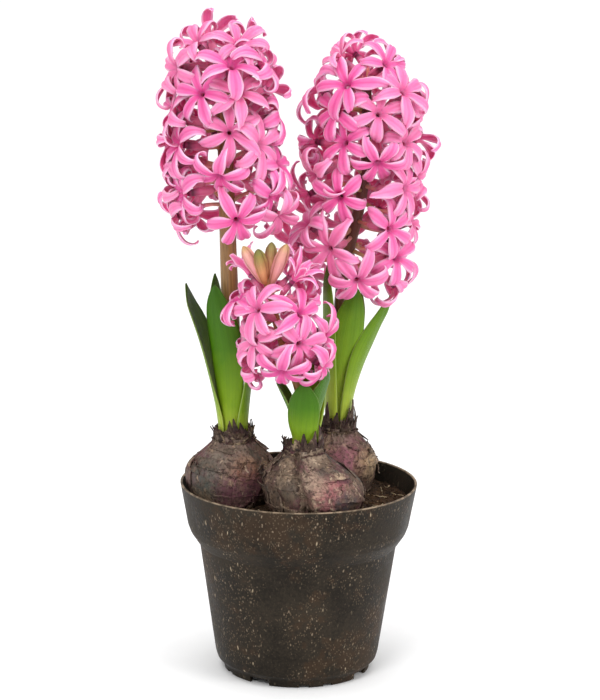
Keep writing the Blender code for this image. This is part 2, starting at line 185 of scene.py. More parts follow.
def new_group(name, inputs, outputs):
    """An empty node group with named float, colour or vector sockets: {name: (type, default)}."""
    group = bpy.data.node_groups.new(name, "ShaderNodeTree")
    kinds = {"float": "NodeSocketFloat", "color": "NodeSocketColor", "vector": "NodeSocketVector"}
    for key, (kind, default) in inputs.items():
        socket = group.interface.new_socket(key, in_out="INPUT", socket_type=kinds[kind])
        if default is not None:
            socket.default_value = default
    for key, kind in outputs.items():
        group.interface.new_socket(key, in_out="OUTPUT", socket_type=kinds[kind])
    return group, group.nodes.new("NodeGroupInput"), group.nodes.new("NodeGroupOutput")


def use_group(tree, group, inputs):
    made = tree.nodes.new("ShaderNodeGroup")
    made.node_tree = group
    for key, value in inputs.items():
        if isinstance(value, bpy.types.NodeSocket):
            tree.links.new(value, made.inputs[key])
        else:
            made.inputs[key].default_value = rgba(value) if isinstance(value, tuple) else value
    return made


def finish(tree, shader, color, roughness=None):
    """Give a shader its colour, and its roughness where that varies."""
    tree.links.new(color, shader.inputs["Base Color"])
    if roughness:
        tree.links.new(roughness, shader.inputs["Roughness"])


def bump(tree, shader, height, strength, distance):
    """Relief from a height, in metres of depth."""
    made = add_node(tree, "ShaderNodeBump", {"Height": height, "Strength": strength,
                                             "Distance": distance})
    tree.links.new(made.outputs["Normal"], shader.inputs["Normal"])


# Mottle: two clouds of noise, broad and fine, mixed between a dark and a light tint.
mottle, mottle_in, mottle_out = new_group(
    "mottle", {"Vector": ("vector", None), "Dark": ("color", (0, 0, 0, 1)),
               "Light": ("color", (1, 1, 1, 1)), "Broad Scale": ("float", 40.0),
               "Fine Scale": ("float", 400.0)}, {"Color": "color", "Mask": "float"})
broad = add_node(mottle, "ShaderNodeTexNoise", {"Vector": mottle_in.outputs["Vector"],
                 "Scale": mottle_in.outputs["Broad Scale"], "Detail": 4.0, "Roughness": 0.6})
fine = add_node(mottle, "ShaderNodeTexNoise", {"Vector": mottle_in.outputs["Vector"],
                "Scale": mottle_in.outputs["Fine Scale"], "Detail": 3.0, "Roughness": 0.65})
both = math_node(mottle, "ADD", times(mottle, broad.outputs["Fac"], 0.6),
                 times(mottle, fine.outputs["Fac"], 0.4))
mask = ease(mottle, both, 0.36, 0.64)
mottle.links.new(mix(mottle, mask, mottle_in.outputs["Dark"], mottle_in.outputs["Light"]),
                 mottle_out.inputs["Color"])
mottle.links.new(mask, mottle_out.inputs["Mask"])


def mottled(tree, dark, light, broad_scale, fine_scale):
    """Mottled colour over an object, and the mask between its two tints."""
    made = use_group(tree, mottle, {"Vector": object_place(tree), "Dark": dark, "Light": light,
                                    "Broad Scale": broad_scale, "Fine Scale": fine_scale})
    return made.outputs["Color"], made.outputs["Mask"]


def new_object(name, points, faces, materials=()):
    """A mesh object of points and faces in the scene."""
    mesh = bpy.data.meshes.new(name)
    mesh.from_pydata(points, [], faces)
    for material in materials:
        mesh.materials.append(material)
    obj = bpy.data.objects.new(name, mesh)
    bpy.context.scene.collection.objects.link(obj)
    return obj


floor_material, tree, shader = new_material("studio_floor", roughness=0.9)
grain, _ = mottled(tree, (0.93, 0.93, 0.93), (0.96, 0.96, 0.96), 2.0, 30.0)
finish(tree, shader, grain)
corners = [(x * FLOOR_HALF, y * FLOOR_HALF, GROUND_Z)
           for x, y in ((-1, -1), (1, -1), (1, 1), (-1, 1))]
new_object("studio_floor", corners, [(0, 1, 2, 3)], [floor_material])


# ------------------------------------------------------------------ pot
# Injection-moulded nursery pot of plant fibre in a dark binder: a thin wall, a wide band under the
# rim, a sloping shoulder and a foot ring cut by drain notches.  Pale fibre chips show in its skin.
POT_STEPS = 160
RIM_RADIUS = (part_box("pot")[1].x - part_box("pot")[0].x) / 2
POT_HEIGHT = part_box("pot")[1].z
WALL = 1.2 * MM
FOOT_RADIUS = 37.4 * MM
FLOOR_TOP = 5.0 * MM
BAND_FOOT = (55.9 * MM, 74.5 * MM)       # radius and height of the band's lower edge
SHOULDER = (50.2 * MM, 67.0 * MM)
BODY_FOOT = (41.6 * MM, 9.5 * MM)


def direction(azimuth):
    """Unit vector in the ground plane."""
    angle = math.radians(azimuth)
    return Vector((math.sin(angle), -math.cos(angle), 0.0))


def smooth(value):
    """Ease from 0 to 1 with level ends."""
    value = min(1.0, max(0.0, value))
    return value * value * (3.0 - 2.0 * value)


def build_piece(name, chunks, materials, replaced=()):
    """Join chunks (points, faces, fields, material number) into one object that rides on the root."""
    points, faces, numbers = [], [], []
    fields = {key: [] for _, _, some, _ in chunks for key in some}
    start = 0
    for some_points, some_faces, some_fields, number in chunks:
        points.append(np.asarray(some_points, float).reshape(-1, 3))
        faces += [tuple(int(i) + start for i in face) for face in some_faces]
        numbers += [number] * len(some_faces)
        for key in fields:
            value = some_fields.get(key, 0.0)
            fields[key].append(np.broadcast_to(np.asarray(value, float), (len(points[-1]),)))
        start += len(points[-1])
    obj = new_object(name, np.concatenate(points).tolist(), faces, materials)
    obj.data.polygons.foreach_set("material_index", numbers)
    for key, values in fields.items():
        layer = obj.data.attributes.new(key, "FLOAT", "POINT")
        layer.data.foreach_set("value", np.concatenate(values).astype(np.float32))
    obj.data.shade_smooth()
    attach(obj, "root")
    if replaced:
        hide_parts(*replaced)
    return obj


def grid_faces(rows, columns, closed=False, flip=False):
    """Quads of a grid of rows x columns points; closed joins the last column to the first."""
    faces = []
    for row in range(rows - 1):
        for column in range(columns if closed else columns - 1):
            after = (column + 1) % columns
            faces.append((row * columns + column, (row + 1) * columns + column,
                          (row + 1) * columns + after, row * columns + after))
    return [tuple(reversed(face)) for face in faces] if flip else faces


def lathe(profile, steps):
    """Points and faces of a profile of (radius, z) turned round +Z; both ends lie on the axis."""
    angles = np.arange(steps) * 2 * math.pi / steps
    points = [(0.0, 0.0, profile[0][1])]
    for radius, z in profile[1:-1]:
        points += [(radius * math.cos(a), radius * math.sin(a), z) for a in angles]
    points.append((0.0, 0.0, profile[-1][1]))
    rows = len(profile) - 2
    faces = [tuple(i + 1 for i in face) for face in grid_faces(rows, steps, closed=True)]
    last = len(points) - 1
    for i in range(steps):
        after = (i + 1) % steps
        faces.append((0, 1 + i, 1 + after))
        faces.append((last, last - steps + after, last - steps + i))
    return points, faces


def pot_outside(z):
    """Radius of the pot's outside between its foot and its rim."""
    stops = (BODY_FOOT, SHOULDER, BAND_FOOT, (RIM_RADIUS, POT_HEIGHT))
    return float(np.interp(z, [stop[1] for stop in stops], [stop[0] for stop in stops]))


def rounded(profile, size):
    """Round each corner of a profile with a short arc, held by a point on each straight beside it."""
    result = [profile[0]]
    for before, corner, after in zip(profile, profile[1:], profile[2:]):
        b, c, a = (Vector(p) for p in (before, corner, after))
        cut = min(size, (b - c).length * 0.3, (a - c).length * 0.3)
        first, last = (b - c).normalized() * cut, (a - c).normalized() * cut
        result.append(tuple(c + first * 1.5))
        for t in (0.0, 0.33, 0.67, 1.0):
            result.append(tuple(c + first * (1 - t) ** 2 + last * t * t))
        result.append(tuple(c + last * 1.5))
    result.append(profile[-1])
    return result


outline = rounded([
    (0.0, 1.8 * MM), (10.4 * MM, 1.8 * MM), (11.2 * MM, FLOOR_TOP), (FOOT_RADIUS, FLOOR_TOP),
    (BODY_FOOT[0] - WALL, BODY_FOOT[1] + 0.5 * MM), (SHOULDER[0] - WALL, SHOULDER[1]),
    (BAND_FOOT[0] - WALL, BAND_FOOT[1] + 0.5 * MM), (RIM_RADIUS - WALL, POT_HEIGHT),
    (RIM_RADIUS, POT_HEIGHT), (BAND_FOOT[0] + 0.2 * MM, BAND_FOOT[1] + 1.5 * MM),
    (BAND_FOOT[0] - 1.2 * MM, BAND_FOOT[1] - 2.2 * MM), (SHOULDER[0] + 0.9 * MM, SHOULDER[1]),
    (SHOULDER[0] - 0.2 * MM, SHOULDER[1] - 1.2 * MM), BODY_FOOT,
    (BODY_FOOT[0] - 1.0 * MM, 6.0 * MM), (FOOT_RADIUS + 1.3 * MM, 4.2 * MM),
    (FOOT_RADIUS, 2.8 * MM), (FOOT_RADIUS - 0.2 * MM, 0.0), (FOOT_RADIUS - 2.0 * MM, 0.0),
    (FOOT_RADIUS - 2.0 * MM, 3.4 * MM), (11.8 * MM, 3.4 * MM), (11.6 * MM, 0.0), (0.0, 0.0),
], 0.5 * MM)

pot_material, tree, shader = new_material("moulded_fibre", specular_ior_level=0.10)
place = object_place(tree)
body_tint, height = mottled(tree, (0.0115, 0.0088, 0.0060), (0.032, 0.0245, 0.0168), 38.0, 700.0)
roughness = ease(tree, height, 0.0, 1.0, 0.42, 0.60)
_, rust = mottled(tree, (0, 0, 0), (1, 1, 1), 22.0, 130.0)
skin = veil(tree, ease(tree, rust, 0.55, 1.0), 0.35, body_tint, (0.060, 0.030, 0.014))
warp = add_node(tree, "ShaderNodeTexNoise", {"Vector": place, "Scale": 120.0, "Detail": 1.0})
bent = add_node(tree, "ShaderNodeMix", {0: 0.004, 4: place, 5: warp.outputs["Color"]},
                data_type="VECTOR").outputs[1]
# three sizes of chips: dust, chips and the odd long splinter
for scale, stretch, size, share, tint, strength in (
        (950.0, 0.7, 0.40, 0.30, (0.125, 0.090, 0.058), 0.70),
        (520.0, 0.50, 0.25, 0.50, (0.25, 0.19, 0.13), 0.75),
        (260.0, 0.30, 0.14, 0.50, (0.42, 0.33, 0.22), 0.85)):
    squeeze = add_node(tree, "ShaderNodeMapping", {"Vector": bent, "Scale": (1.0, 1.0, stretch)})
    cells = add_node(tree, "ShaderNodeTexVoronoi", {"Vector": squeeze.outputs["Vector"],
                                                    "Scale": scale})
    near = ease(tree, cells.outputs["Distance"], size, size * 0.45)
    pick = add_node(tree, "ShaderNodeSeparateColor", {"Color": cells.outputs["Color"]})
    chosen = math_node(tree, "GREATER_THAN", pick.outputs["Red"], share)
    drift = add_node(tree, "ShaderNodeTexNoise", {"Vector": place, "Scale": 45.0, "Detail": 3.0})
    crowd = ease(tree, drift.outputs["Fac"], 0.40, 0.60, 0.12, 1.0)
    chip = times(tree, times(tree, times(tree, near, chosen), strength), crowd)
    skin = mix(tree, chip, skin, tint)
    height = math_node(tree, "ADD", height, chip)
height_above = add_node(tree, "ShaderNodeSeparateXYZ", {"Vector": place}).outputs["Z"]
edge = ease(tree, height_above, POT_HEIGHT - 0.8 * MM, POT_HEIGHT - 0.2 * MM)
scuff = add_node(tree, "ShaderNodeTexNoise", {"Vector": place, "Scale": 260.0, "Detail": 4.0})
worn_edge = ease(tree, scuff.outputs["Fac"], 0.40, 0.62, 0.30, 0.95)
skin = veil(tree, edge, worn_edge, skin, (0.30, 0.225, 0.155))
finish(tree, shader, skin, roughness)
bump(tree, shader, height, 0.35, 0.00025)

points, faces = lathe(outline, POT_STEPS)
pot = build_piece("nursery_pot", [(points, faces, {}, 0)], [pot_material])


def cutter_box(width, depth, height, azimuth, radius):
    """A box across the foot ring, used to cut a drain notch of the given height."""
    corners = [(x * width / 2, y * depth / 2, z * height) for z in (-1, 1)
               for y in (-1, 1) for x in (-1, 1)]
    box = new_object("cutter", corners, [(0, 2, 3, 1), (4, 5, 7, 6), (0, 1, 5, 4), (2, 6, 7, 3),
                                         (0, 4, 6, 2), (1, 3, 7, 5)])
    box.location = direction(azimuth) * radius
    box.rotation_euler = (0.0, 0.0, math.radians(azimuth))
    return box


def settle(obj):
    """Apply an object's modifiers to its mesh."""
    graph = bpy.context.evaluated_depsgraph_get()
    mesh = bpy.data.meshes.new_from_object(obj.evaluated_get(graph), preserve_all_data_layers=True,
                                           depsgraph=graph)
    obj.modifiers.clear()
    obj.data = mesh


cutters = []
for quarter in range(4):
    start = -30.0 + quarter * 90.0
    cutters.append(cutter_box(11.0 * MM, 12 * MM, 3.1 * MM, start, FOOT_RADIUS - 1 * MM))
    for turn in (36.0, 55.0):
        cutters.append(cutter_box(5.0 * MM, 12 * MM, 1.1 * MM, start + turn, FOOT_RADIUS - 1 * MM))
    drain_points, drain_faces = lathe([(0, 8 * MM), (3.5 * MM, 8 * MM), (3.5 * MM, 1 * MM),
                                       (0, 1 * MM)], 24)
    drain = new_object("cutter", drain_points, drain_faces)
    drain.location = direction(start) * 30.0 * MM
    cutters.append(drain)
for cutter in cutters:
    boolean = pot.modifiers.new("notch", "BOOLEAN")
    boolean.object = cutter
    boolean.solver = "EXACT"
settle(pot)
for cutter in cutters:
    bpy.data.objects.remove(cutter, do_unlink=True)
pot.data.shade_smooth()
pot.data.set_sharp_from_angle(angle=math.radians(50))
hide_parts("pot")


# ------------------------------------------------------------------ potting soil
# Dark peat-based soil, loose and crumbly, pressed round the bulbs about a finger's width under
# the rim.  Crumbs and bits of straw lie on it.
draw = random.Random(11)
SOIL_RING = 90
SOIL_COLUMNS = 200
CRUMBS = 2600
STRAWS = 60
soil_low, soil_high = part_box("soil")
SOIL_TOP = soil_high.z


def soil_height(x, y):
    """Height of the soil's surface: nearly level, lumpy at two sizes."""
    level = SOIL_TOP - 1.3 * MM * smooth((math.hypot(x, y) - 0.040) / 0.017)
    broad_lumps = noise.noise(Vector((x, y, 0.0)) * 120.0) * 0.9 * MM
    crumbs = noise.noise(Vector((x, y, 0.3)) * 520.0) * 0.55 * MM
    return level + broad_lumps + crumbs


soil_material, tree, shader = new_material("peat", roughness=0.92, specular_ior_level=0.25)
tint, height = mottled(tree, (0.014, 0.006, 0.003), (0.075, 0.038, 0.015), 160.0, 1500.0)
light = math_node(tree, "GREATER_THAN", field(tree, "pale"), 0.5)
finish(tree, shader, veil(tree, light, 0.8, tint, (0.30, 0.20, 0.12)))
bump(tree, shader, height, 0.9, 0.0006)

radius_at_top = pot_outside(SOIL_TOP) - WALL - 0.3 * MM
spokes = [c * 2 * math.pi / SOIL_COLUMNS for c in range(SOIL_COLUMNS)]
points = []
for ring in range(SOIL_RING + 1):
    r = radius_at_top * (ring / SOIL_RING) ** 0.8
    flat = [(r * math.cos(a), r * math.sin(a)) for a in spokes]
    points += [(x, y, soil_height(x, y)) for x, y in flat]
sides = [(SHOULDER[0] - WALL - 0.4 * MM, SHOULDER[1]), (BODY_FOOT[0] - WALL - 0.6 * MM,
                                                       BODY_FOOT[1] + 1.0 * MM),
         (FOOT_RADIUS - 0.8 * MM, FLOOR_TOP + 0.3 * MM), (0.01 * MM, FLOOR_TOP + 0.3 * MM)]
for r, z in sides:
    points += [(r * math.cos(a), r * math.sin(a), z) for a in spokes]
faces = grid_faces(SOIL_RING + 1 + len(sides), SOIL_COLUMNS, closed=True)
build_piece("potting_soil", [(points, faces, {"pale": 0.0}, 0)], [soil_material], ["soil"])

ICO = (1 + 5 ** 0.5) / 2
ICO_POINTS = np.array([(-1, ICO, 0), (1, ICO, 0), (-1, -ICO, 0), (1, -ICO, 0), (0, -1, ICO),
                       (0, 1, ICO), (0, -1, -ICO), (0, 1, -ICO), (ICO, 0, -1), (ICO, 0, 1),
                       (-ICO, 0, -1), (-ICO, 0, 1)]) / 1.9
ICO_FACES = ((0, 11, 5), (0, 5, 1), (0, 1, 7), (0, 7, 10), (0, 10, 11), (1, 5, 9), (5, 11, 4),
             (11, 10, 2), (10, 7, 6), (7, 1, 8), (3, 9, 4), (3, 4, 2), (3, 2, 6), (3, 6, 8),
             (3, 8, 9), (4, 9, 5), (2, 4, 11), (6, 2, 10), (8, 6, 7), (9, 8, 1))
crumb_chunks = []
for _ in range(CRUMBS):
    r = radius_at_top * math.sqrt(draw.random()) * 0.985
    a = draw.uniform(0, 2 * math.pi)
    x, y = r * math.cos(a), r * math.sin(a)
    size = draw.uniform(0.35, 1.0) ** 2 * 1.05 * MM
    lump = ICO_POINTS * np.array([[draw.uniform(0.7, 1.25)] for _ in range(12)])
    lump = lump * size * np.array((1.0, draw.uniform(0.6, 1.0), draw.uniform(0.5, 0.9)))
    centre = np.array((x, y, soil_height(x, y) + 0.2 * size))
    crumb_chunks.append((lump + centre, ICO_FACES, {"pale": 1.0 if draw.random() < 0.05 else 0.0}, 0))
build_piece("soil_crumbs", crumb_chunks, [soil_material])


def tube_faces(rows, columns):
    """Faces of a tube of rings of points, closed by a cap at each end."""
    caps = [tuple(range(columns - 1, -1, -1)), tuple(range((rows - 1) * columns, rows * columns))]
    return grid_faces(rows, columns, closed=True, flip=True) + caps


def sweep(path, radii, sides=8):
    """A closed round tube along a path of points; returns points, faces and the share along."""
    path = [Vector(p) for p in path]
    points, along = [], []
    side = Vector((0.31, 0.87, 0.38))
    for i, place in enumerate(path):
        ahead = (path[min(i + 1, len(path) - 1)] - path[max(i - 1, 0)]).normalized()
        side = (side - ahead * side.dot(ahead)).normalized()
        other = ahead.cross(side)
        for k in range(sides):
            a = 2 * math.pi * k / sides
            points.append(place + (side * math.cos(a) + other * math.sin(a)) * radii[i])
            along.append(i / (len(path) - 1))
    return points, tube_faces(len(path), sides), np.array(along)


straw_material, tree, shader = new_material("straw", roughness=0.7)
tint, height = mottled(tree, (0.22, 0.14, 0.07), (0.62, 0.50, 0.32), 300.0, 2500.0)
finish(tree, shader, tint)
bump(tree, shader, height, 0.4, 0.0001)
straw_chunks = []
for _ in range(STRAWS):
    r = radius_at_top * math.sqrt(draw.uniform(0.15, 1.0)) * 0.97
    start = direction(draw.uniform(-180, 180)) * r
    heading = direction(draw.uniform(-180, 180))
    length = draw.uniform(3.0, 10.0) * MM
    bend = Vector((draw.uniform(-1, 1), draw.uniform(-1, 1), 0.0)) * 0.3
    path = []
    for i in range(6):
        spot = start + (heading + bend * (i / 5)) * length * (i / 5)
        if spot.xy.length > radius_at_top - 0.5 * MM:
            spot = spot * ((radius_at_top - 0.5 * MM) / spot.xy.length)
        spot.z = soil_height(spot.x, spot.y) + draw.uniform(0.3, 1.0) * MM
        path.append(spot)
    thick = draw.uniform(0.12, 0.30) * MM
    straw_points, straw_faces, _ = sweep(path, [thick] * 6, 5)
    straw_chunks.append((straw_points, straw_faces, {}, 0))
build_piece("straw_bits", straw_chunks, [straw_material])


# ------------------------------------------------------------------ bulbs
# Hyacinth bulbs, wide and squat, half sunk in the soil.  Dry papery skins cover them in patches of
# tan, grey-green and purple; they flake and peel, and end in a torn dark collar round the leaves.
BULB_ROWS = 70
BULB_COLUMNS = 144
SWOLLEN = 0.9 * MM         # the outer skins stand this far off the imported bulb
NECK_SHARE = 0.12          # shares of the way from the neck's rim over the skin to the bottom
WIDEST_SHARE = 0.60
NECK_TALL = 4.5 * MM
SKIN_THICKNESS = 0.22 * MM
SOCKET = 8.0 * MM          # depth of the hollow in the neck, from which the leaves come
FLAKES = 30
SHREDS = 60
# widest: share of a bulb's height; lean: shift of its neck and neck: its radius, in mm;
# cleft: angle of the fold between a bulb and its offset, with its depth in mm
BULBS = {"left": {"widest": 0.552, "lean": (1.7, -0.3), "neck": 9.9, "seed": 3.0,
                  "cleft": (-20, 0.8)},
         "centre": {"widest": 0.507, "lean": (-6.0, -2.0), "neck": 9.8, "seed": 8.0,
                    "cleft": (-102, 5.2)},
         "right": {"widest": 0.500, "lean": (1.5, 1.0), "neck": 9.3, "seed": 14.0,
                   "cleft": (-62, 1.6)}}


def bulb_shape(side):
    """Size of a bulb from the frame, as a dict: centre, radius, heights and the neck's shift."""
    low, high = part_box(side + "_bulb")
    bulb = BULBS[side]
    return {"cleft": math.radians(bulb["cleft"][0]), "depth": bulb["cleft"][1] * MM, "low": low.z,
            "high": high.z, "radius": (high.y - low.y) / 2 + SWOLLEN, "neck": bulb["neck"] * MM,
            "centre": Vector(((low.x + high.x) / 2, (low.y + high.y) / 2, 0.0)),
            "widest": low.z + (high.z - low.z) * bulb["widest"], "seed": bulb["seed"],
            "shift": Vector((*bulb["lean"], 0.0)) * MM}


def bulb_point(shape, share, angle, proud=0.0):
    """A point of the skin: share runs from the neck's rim (0) to the bottom (1)."""
    out = Vector((math.cos(angle), math.sin(angle), 0.0))
    torn = noise.noise(Vector((out.x * 2.4, out.y * 2.4, shape["seed"])))
    rough = (0.3 + 0.8 * torn) * MM
    if share < NECK_SHARE:
        step = share / NECK_SHARE
        z = shape["high"] - NECK_TALL * step + (2.6 * torn - 1.0) * MM * (1 - step)
        radius = shape["neck"] + rough * step - 0.5 * MM * (1 - step)
    elif share < WIDEST_SHARE:
        step = (share - NECK_SHARE) / (WIDEST_SHARE - NECK_SHARE)
        neck_foot = shape["high"] - NECK_TALL
        z = neck_foot + (shape["widest"] - neck_foot) * step
        bulge = math.sin(step * math.pi / 2) ** 1.25
        radius = shape["neck"] + rough * (1 - step) + (shape["radius"] - shape["neck"]) * bulge
    else:
        turn = (share - WIDEST_SHARE) / (1.0 - WIDEST_SHARE) * math.pi / 2
        z = shape["widest"] - (shape["widest"] - shape["low"]) * math.sin(turn)
        radius = shape["radius"] * math.cos(turn)
    seed = Vector((shape["seed"], shape["seed"] * 0.7, 0.0))
    probe = out * 1.1 + Vector((0.0, 0.0, z * 30)) + seed
    lumps = noise.noise(probe * 1.3) * 1.1 * MM
    ribs = noise.noise(Vector((out.x * 9, out.y * 9, z * 60)) + seed) * (0.75 - 0.5 * share) * MM
    fade = smooth(share / 0.15) * (1.0 - smooth((share - 0.85) / 0.15))
    away = math.remainder(angle - shape["cleft"] + 4.0 * (z - shape["widest"]), 2 * math.pi)
    fold = shape["depth"] * (math.exp(-(away / 0.13) ** 2) - 0.42 * math.exp(-(away / 0.45) ** 2))
    radius += (lumps + ribs - fold - 0.5 * MM) * fade + proud
    low, high = shape["widest"] - 4 * MM, shape["high"] - 8 * MM
    return (shape["centre"] + shape["shift"] * smooth((z - low) / (high - low)) + out * radius
            + Vector((0.0, 0.0, z)))


# Papery skin: patches in four tints from broad noise, fine upright fibres and dark flecks.
papery, papery_in, papery_out = new_group(
    "papery_skin", {"Vector": ("vector", None), "Base": ("color", (0.2, 0.15, 0.1, 1)),
                    "Patch": ("color", (0.3, 0.1, 0.15, 1)), "Mould": ("color", (0.1, 0.1, 0.1, 1)),
                    "Straw": ("color", (0.5, 0.4, 0.3, 1)), "Scale": ("float", 60.0),
                    "Patch Amount": ("float", 0.5)},
    {"Color": "color", "Height": "float", "Roughness": "float"})
inside = papery_in.outputs


def cloud(tree, vector, scale, detail=4.0, shift=0.0, stretch=(1.0, 1.0, 1.0)):
    """Noise at a place moved aside by shift, so that clouds of one scale differ."""
    moved = add_node(tree, "ShaderNodeMapping", {"Vector": vector, "Location": (shift, shift, 0.0),
                                                  "Scale": stretch})
    return add_node(tree, "ShaderNodeTexNoise", {"Vector": moved.outputs["Vector"], "Scale": scale,
                    "Detail": detail, "Roughness": 0.62, "Distortion": 0.4}).outputs["Fac"]


purple = times(papery, ease(papery, cloud(papery, inside["Vector"],
                   inside["Scale"], 5.0, 0.11), 0.44, 0.56), inside["Patch Amount"])
grey = ease(papery, cloud(papery, inside["Vector"], inside["Scale"], 5.0, 0.37), 0.53, 0.63)
straw_mask = ease(papery, cloud(papery, inside["Vector"], inside["Scale"], 6.0, 0.73), 0.55, 0.62)
fibres = cloud(papery, inside["Vector"], 900.0, 3.0, 0.0, (1.0, 1.0, 0.10))
cracks = add_node(papery, "ShaderNodeTexVoronoi", {"Vector": inside["Vector"], "Scale": 260.0},
                  feature="DISTANCE_TO_EDGE")
crack = ease(papery, cracks.outputs["Distance"], 0.10, 0.0)
flecks = ease(papery, cloud(papery, inside["Vector"], 420.0, 4.0, 0.5), 0.56, 0.66)
color = mix(papery, purple, inside["Base"], inside["Patch"])
color = veil(papery, grey, 0.75, color, inside["Mould"])
color = veil(papery, straw_mask, 0.8, color, inside["Straw"])
color = mix(papery, ease(papery, fibres, 0.35, 0.65, 0.0, 0.55), color, (0.30, 0.24, 0.19),
            "SOFT_LIGHT")
color = veil(papery, flecks, 0.65, color, (0.030, 0.018, 0.014))
color = veil(papery, crack, 0.35, color, (0.05, 0.03, 0.025))
papery.links.new(color, papery_out.inputs["Color"])
relief = math_node(papery, "ADD", times(papery, fibres, 0.8),
                   times(papery, straw_mask, 0.6))
papery.links.new(math_node(papery, "SUBTRACT", relief, times(papery, flecks, 0.5)),
                 papery_out.inputs["Height"])
papery.links.new(ease(papery, purple, 0.0, 1.0, 0.72, 0.48), papery_out.inputs["Roughness"])


# Stain: a blot of colour round a place, with a ragged noisy edge.
stain, stain_in, stain_out = new_group(
    "stain", {"Vector": ("vector", None), "Centre": ("vector", None), "Radius": ("float", 0.01),
              "Under": ("color", (0, 0, 0, 1)), "Tint": ("color", (0, 0, 0, 1)),
              "Strength": ("float", 0.8)}, {"Color": "color"})
given = stain_in.outputs
away = add_node(stain, "ShaderNodeVectorMath", {0: given["Vector"], 1: given["Centre"]},
                operation="DISTANCE").outputs["Value"]
ragged = math_node(stain, "SUBTRACT", cloud(stain, given["Vector"], 240.0, 6.0, 0.2), 0.5)
nearness = math_node(stain, "DIVIDE", away, given["Radius"])
nearness = math_node(stain, "ADD", nearness, times(stain, ragged, 2.4))
thin = ease(stain, cloud(stain, given["Vector"], 420.0, 5.0, 1.7), 0.38, 0.60, 0.45, 1.0)
amount = times(stain, ease(stain, nearness, 1.45, 0.45), given["Strength"])
stain.links.new(veil(stain, amount, thin, given["Under"], given["Tint"]),
                stain_out.inputs["Color"])


def papery_material(name, scale, amount, base, patch, mould, straw, strength=0.7, stains=()):
    """One finish of dry bulb skin; stains are (place in mm, radius in mm, tint, strength)."""
    material, tree, shader = new_material(name, specular_ior_level=0.22)
    place = object_place(tree)
    skin = use_group(tree, papery, {
        "Vector": place, "Scale": scale, "Patch Amount": amount, "Base": base, "Patch": patch,
        "Mould": mould, "Straw": straw})
    tint = skin.outputs["Color"]
    for centre, radius, stain_tint, stain_strength in stains:
        blot = use_group(tree, stain, {"Vector": place, "Radius": radius * MM, "Under": tint,
                                        "Tint": stain_tint, "Strength": stain_strength})
        blot.inputs["Centre"].default_value = Vector(centre) * MM
        tint = blot.outputs["Color"]
    tint = mix(tree, field(tree, "worn"), tint, mix(tree, 1.0, tint, (0.42, 0.40, 0.40), "MULTIPLY"))
    grime = ease(tree, cloud(tree, place, 700.0, 5.0, 0.9), 0.50, 0.66)
    tint = veil(tree, grime, 0.72, tint, (0.026, 0.016, 0.012))
    scrap = ease(tree, cloud(tree, place, 300.0, 6.0, 2.7, (1.0, 1.0, 0.6)), 0.60, 0.66)
    finish(tree, shader, veil(tree, scrap, 0.6, tint, straw), skin.outputs["Roughness"])
    bump(tree, shader, skin.outputs["Height"], strength, 0.0005)
    return material


# the blots that tell the three bulbs apart
STAINS = {
    "left": (((-46, -24, 104), 11.0, (0.070, 0.078, 0.066), 0.85),
             ((-27, -27, 110), 8.0, (0.40, 0.170, 0.070), 0.70),
             ((-28, -28, 99), 12.0, (0.165, 0.062, 0.082), 0.90),
             ((-35, -20, 118), 13.0, (0.235, 0.180, 0.140), 0.70)),
    "centre": (((-6, -50, 106), 11.0, (0.115, 0.080, 0.055), 0.75),
               ((17, -52, 104), 10.0, (0.36, 0.120, 0.130), 0.75),
               ((8, -52, 112), 7.0, (0.40, 0.29, 0.21), 0.75),
               ((23, -49, 98), 6.5, (0.050, 0.055, 0.055), 0.85),
               ((14, -47, 117), 5.5, (0.030, 0.020, 0.018), 0.80),
               ((7, -42, 123), 7.0, (0.50, 0.38, 0.27), 0.75)),
    "right": (((26, 2, 110), 11.0, (0.300, 0.110, 0.140), 0.90),
              ((35, 8, 104), 8.0, (0.50, 0.34, 0.19), 0.80),
              ((21, 8, 120), 7.0, (0.30, 0.22, 0.17), 0.70)),
}
collar_material = papery_material("torn_collar", 170.0, 0.9, (0.120, 0.080, 0.056),
                                  (0.070, 0.030, 0.032), (0.022, 0.014, 0.011), (0.42, 0.32, 0.21))


def thicken(points, faces, thickness, fields):
    """Closed shell of an open sheet, whose faces look to its upper side; adds the field under."""
    top = np.asarray(points, float)
    quads = np.array(faces)
    across = top[quads[:, 2]] - top[quads[:, 0]]
    down = top[quads[:, 3]] - top[quads[:, 1]]
    face_normals = np.cross(across, down)
    normals = np.zeros_like(top)
    for corner in range(4):
        np.add.at(normals, quads[:, corner], face_normals)
    normals /= np.maximum(np.linalg.norm(normals, axis=1, keepdims=True), 1e-12)
    count = len(top)
    bottom = top - normals * np.asarray(thickness, float).reshape(-1, 1)
    directed = {}
    for face in faces:
        for i in range(4):
            directed[(face[i], face[(i + 1) % 4])] = True
    shell = list(faces) + [tuple(i + count for i in reversed(face)) for face in faces]
    shell += [(b, a, a + count, b + count) for a, b in directed if (b, a) not in directed]
    doubled = {key: np.concatenate([value, value]) for key, value in fields.items()}
    doubled["under"] = np.concatenate([np.zeros(count), np.ones(count)])
    return np.concatenate([top, bottom]), shell, doubled


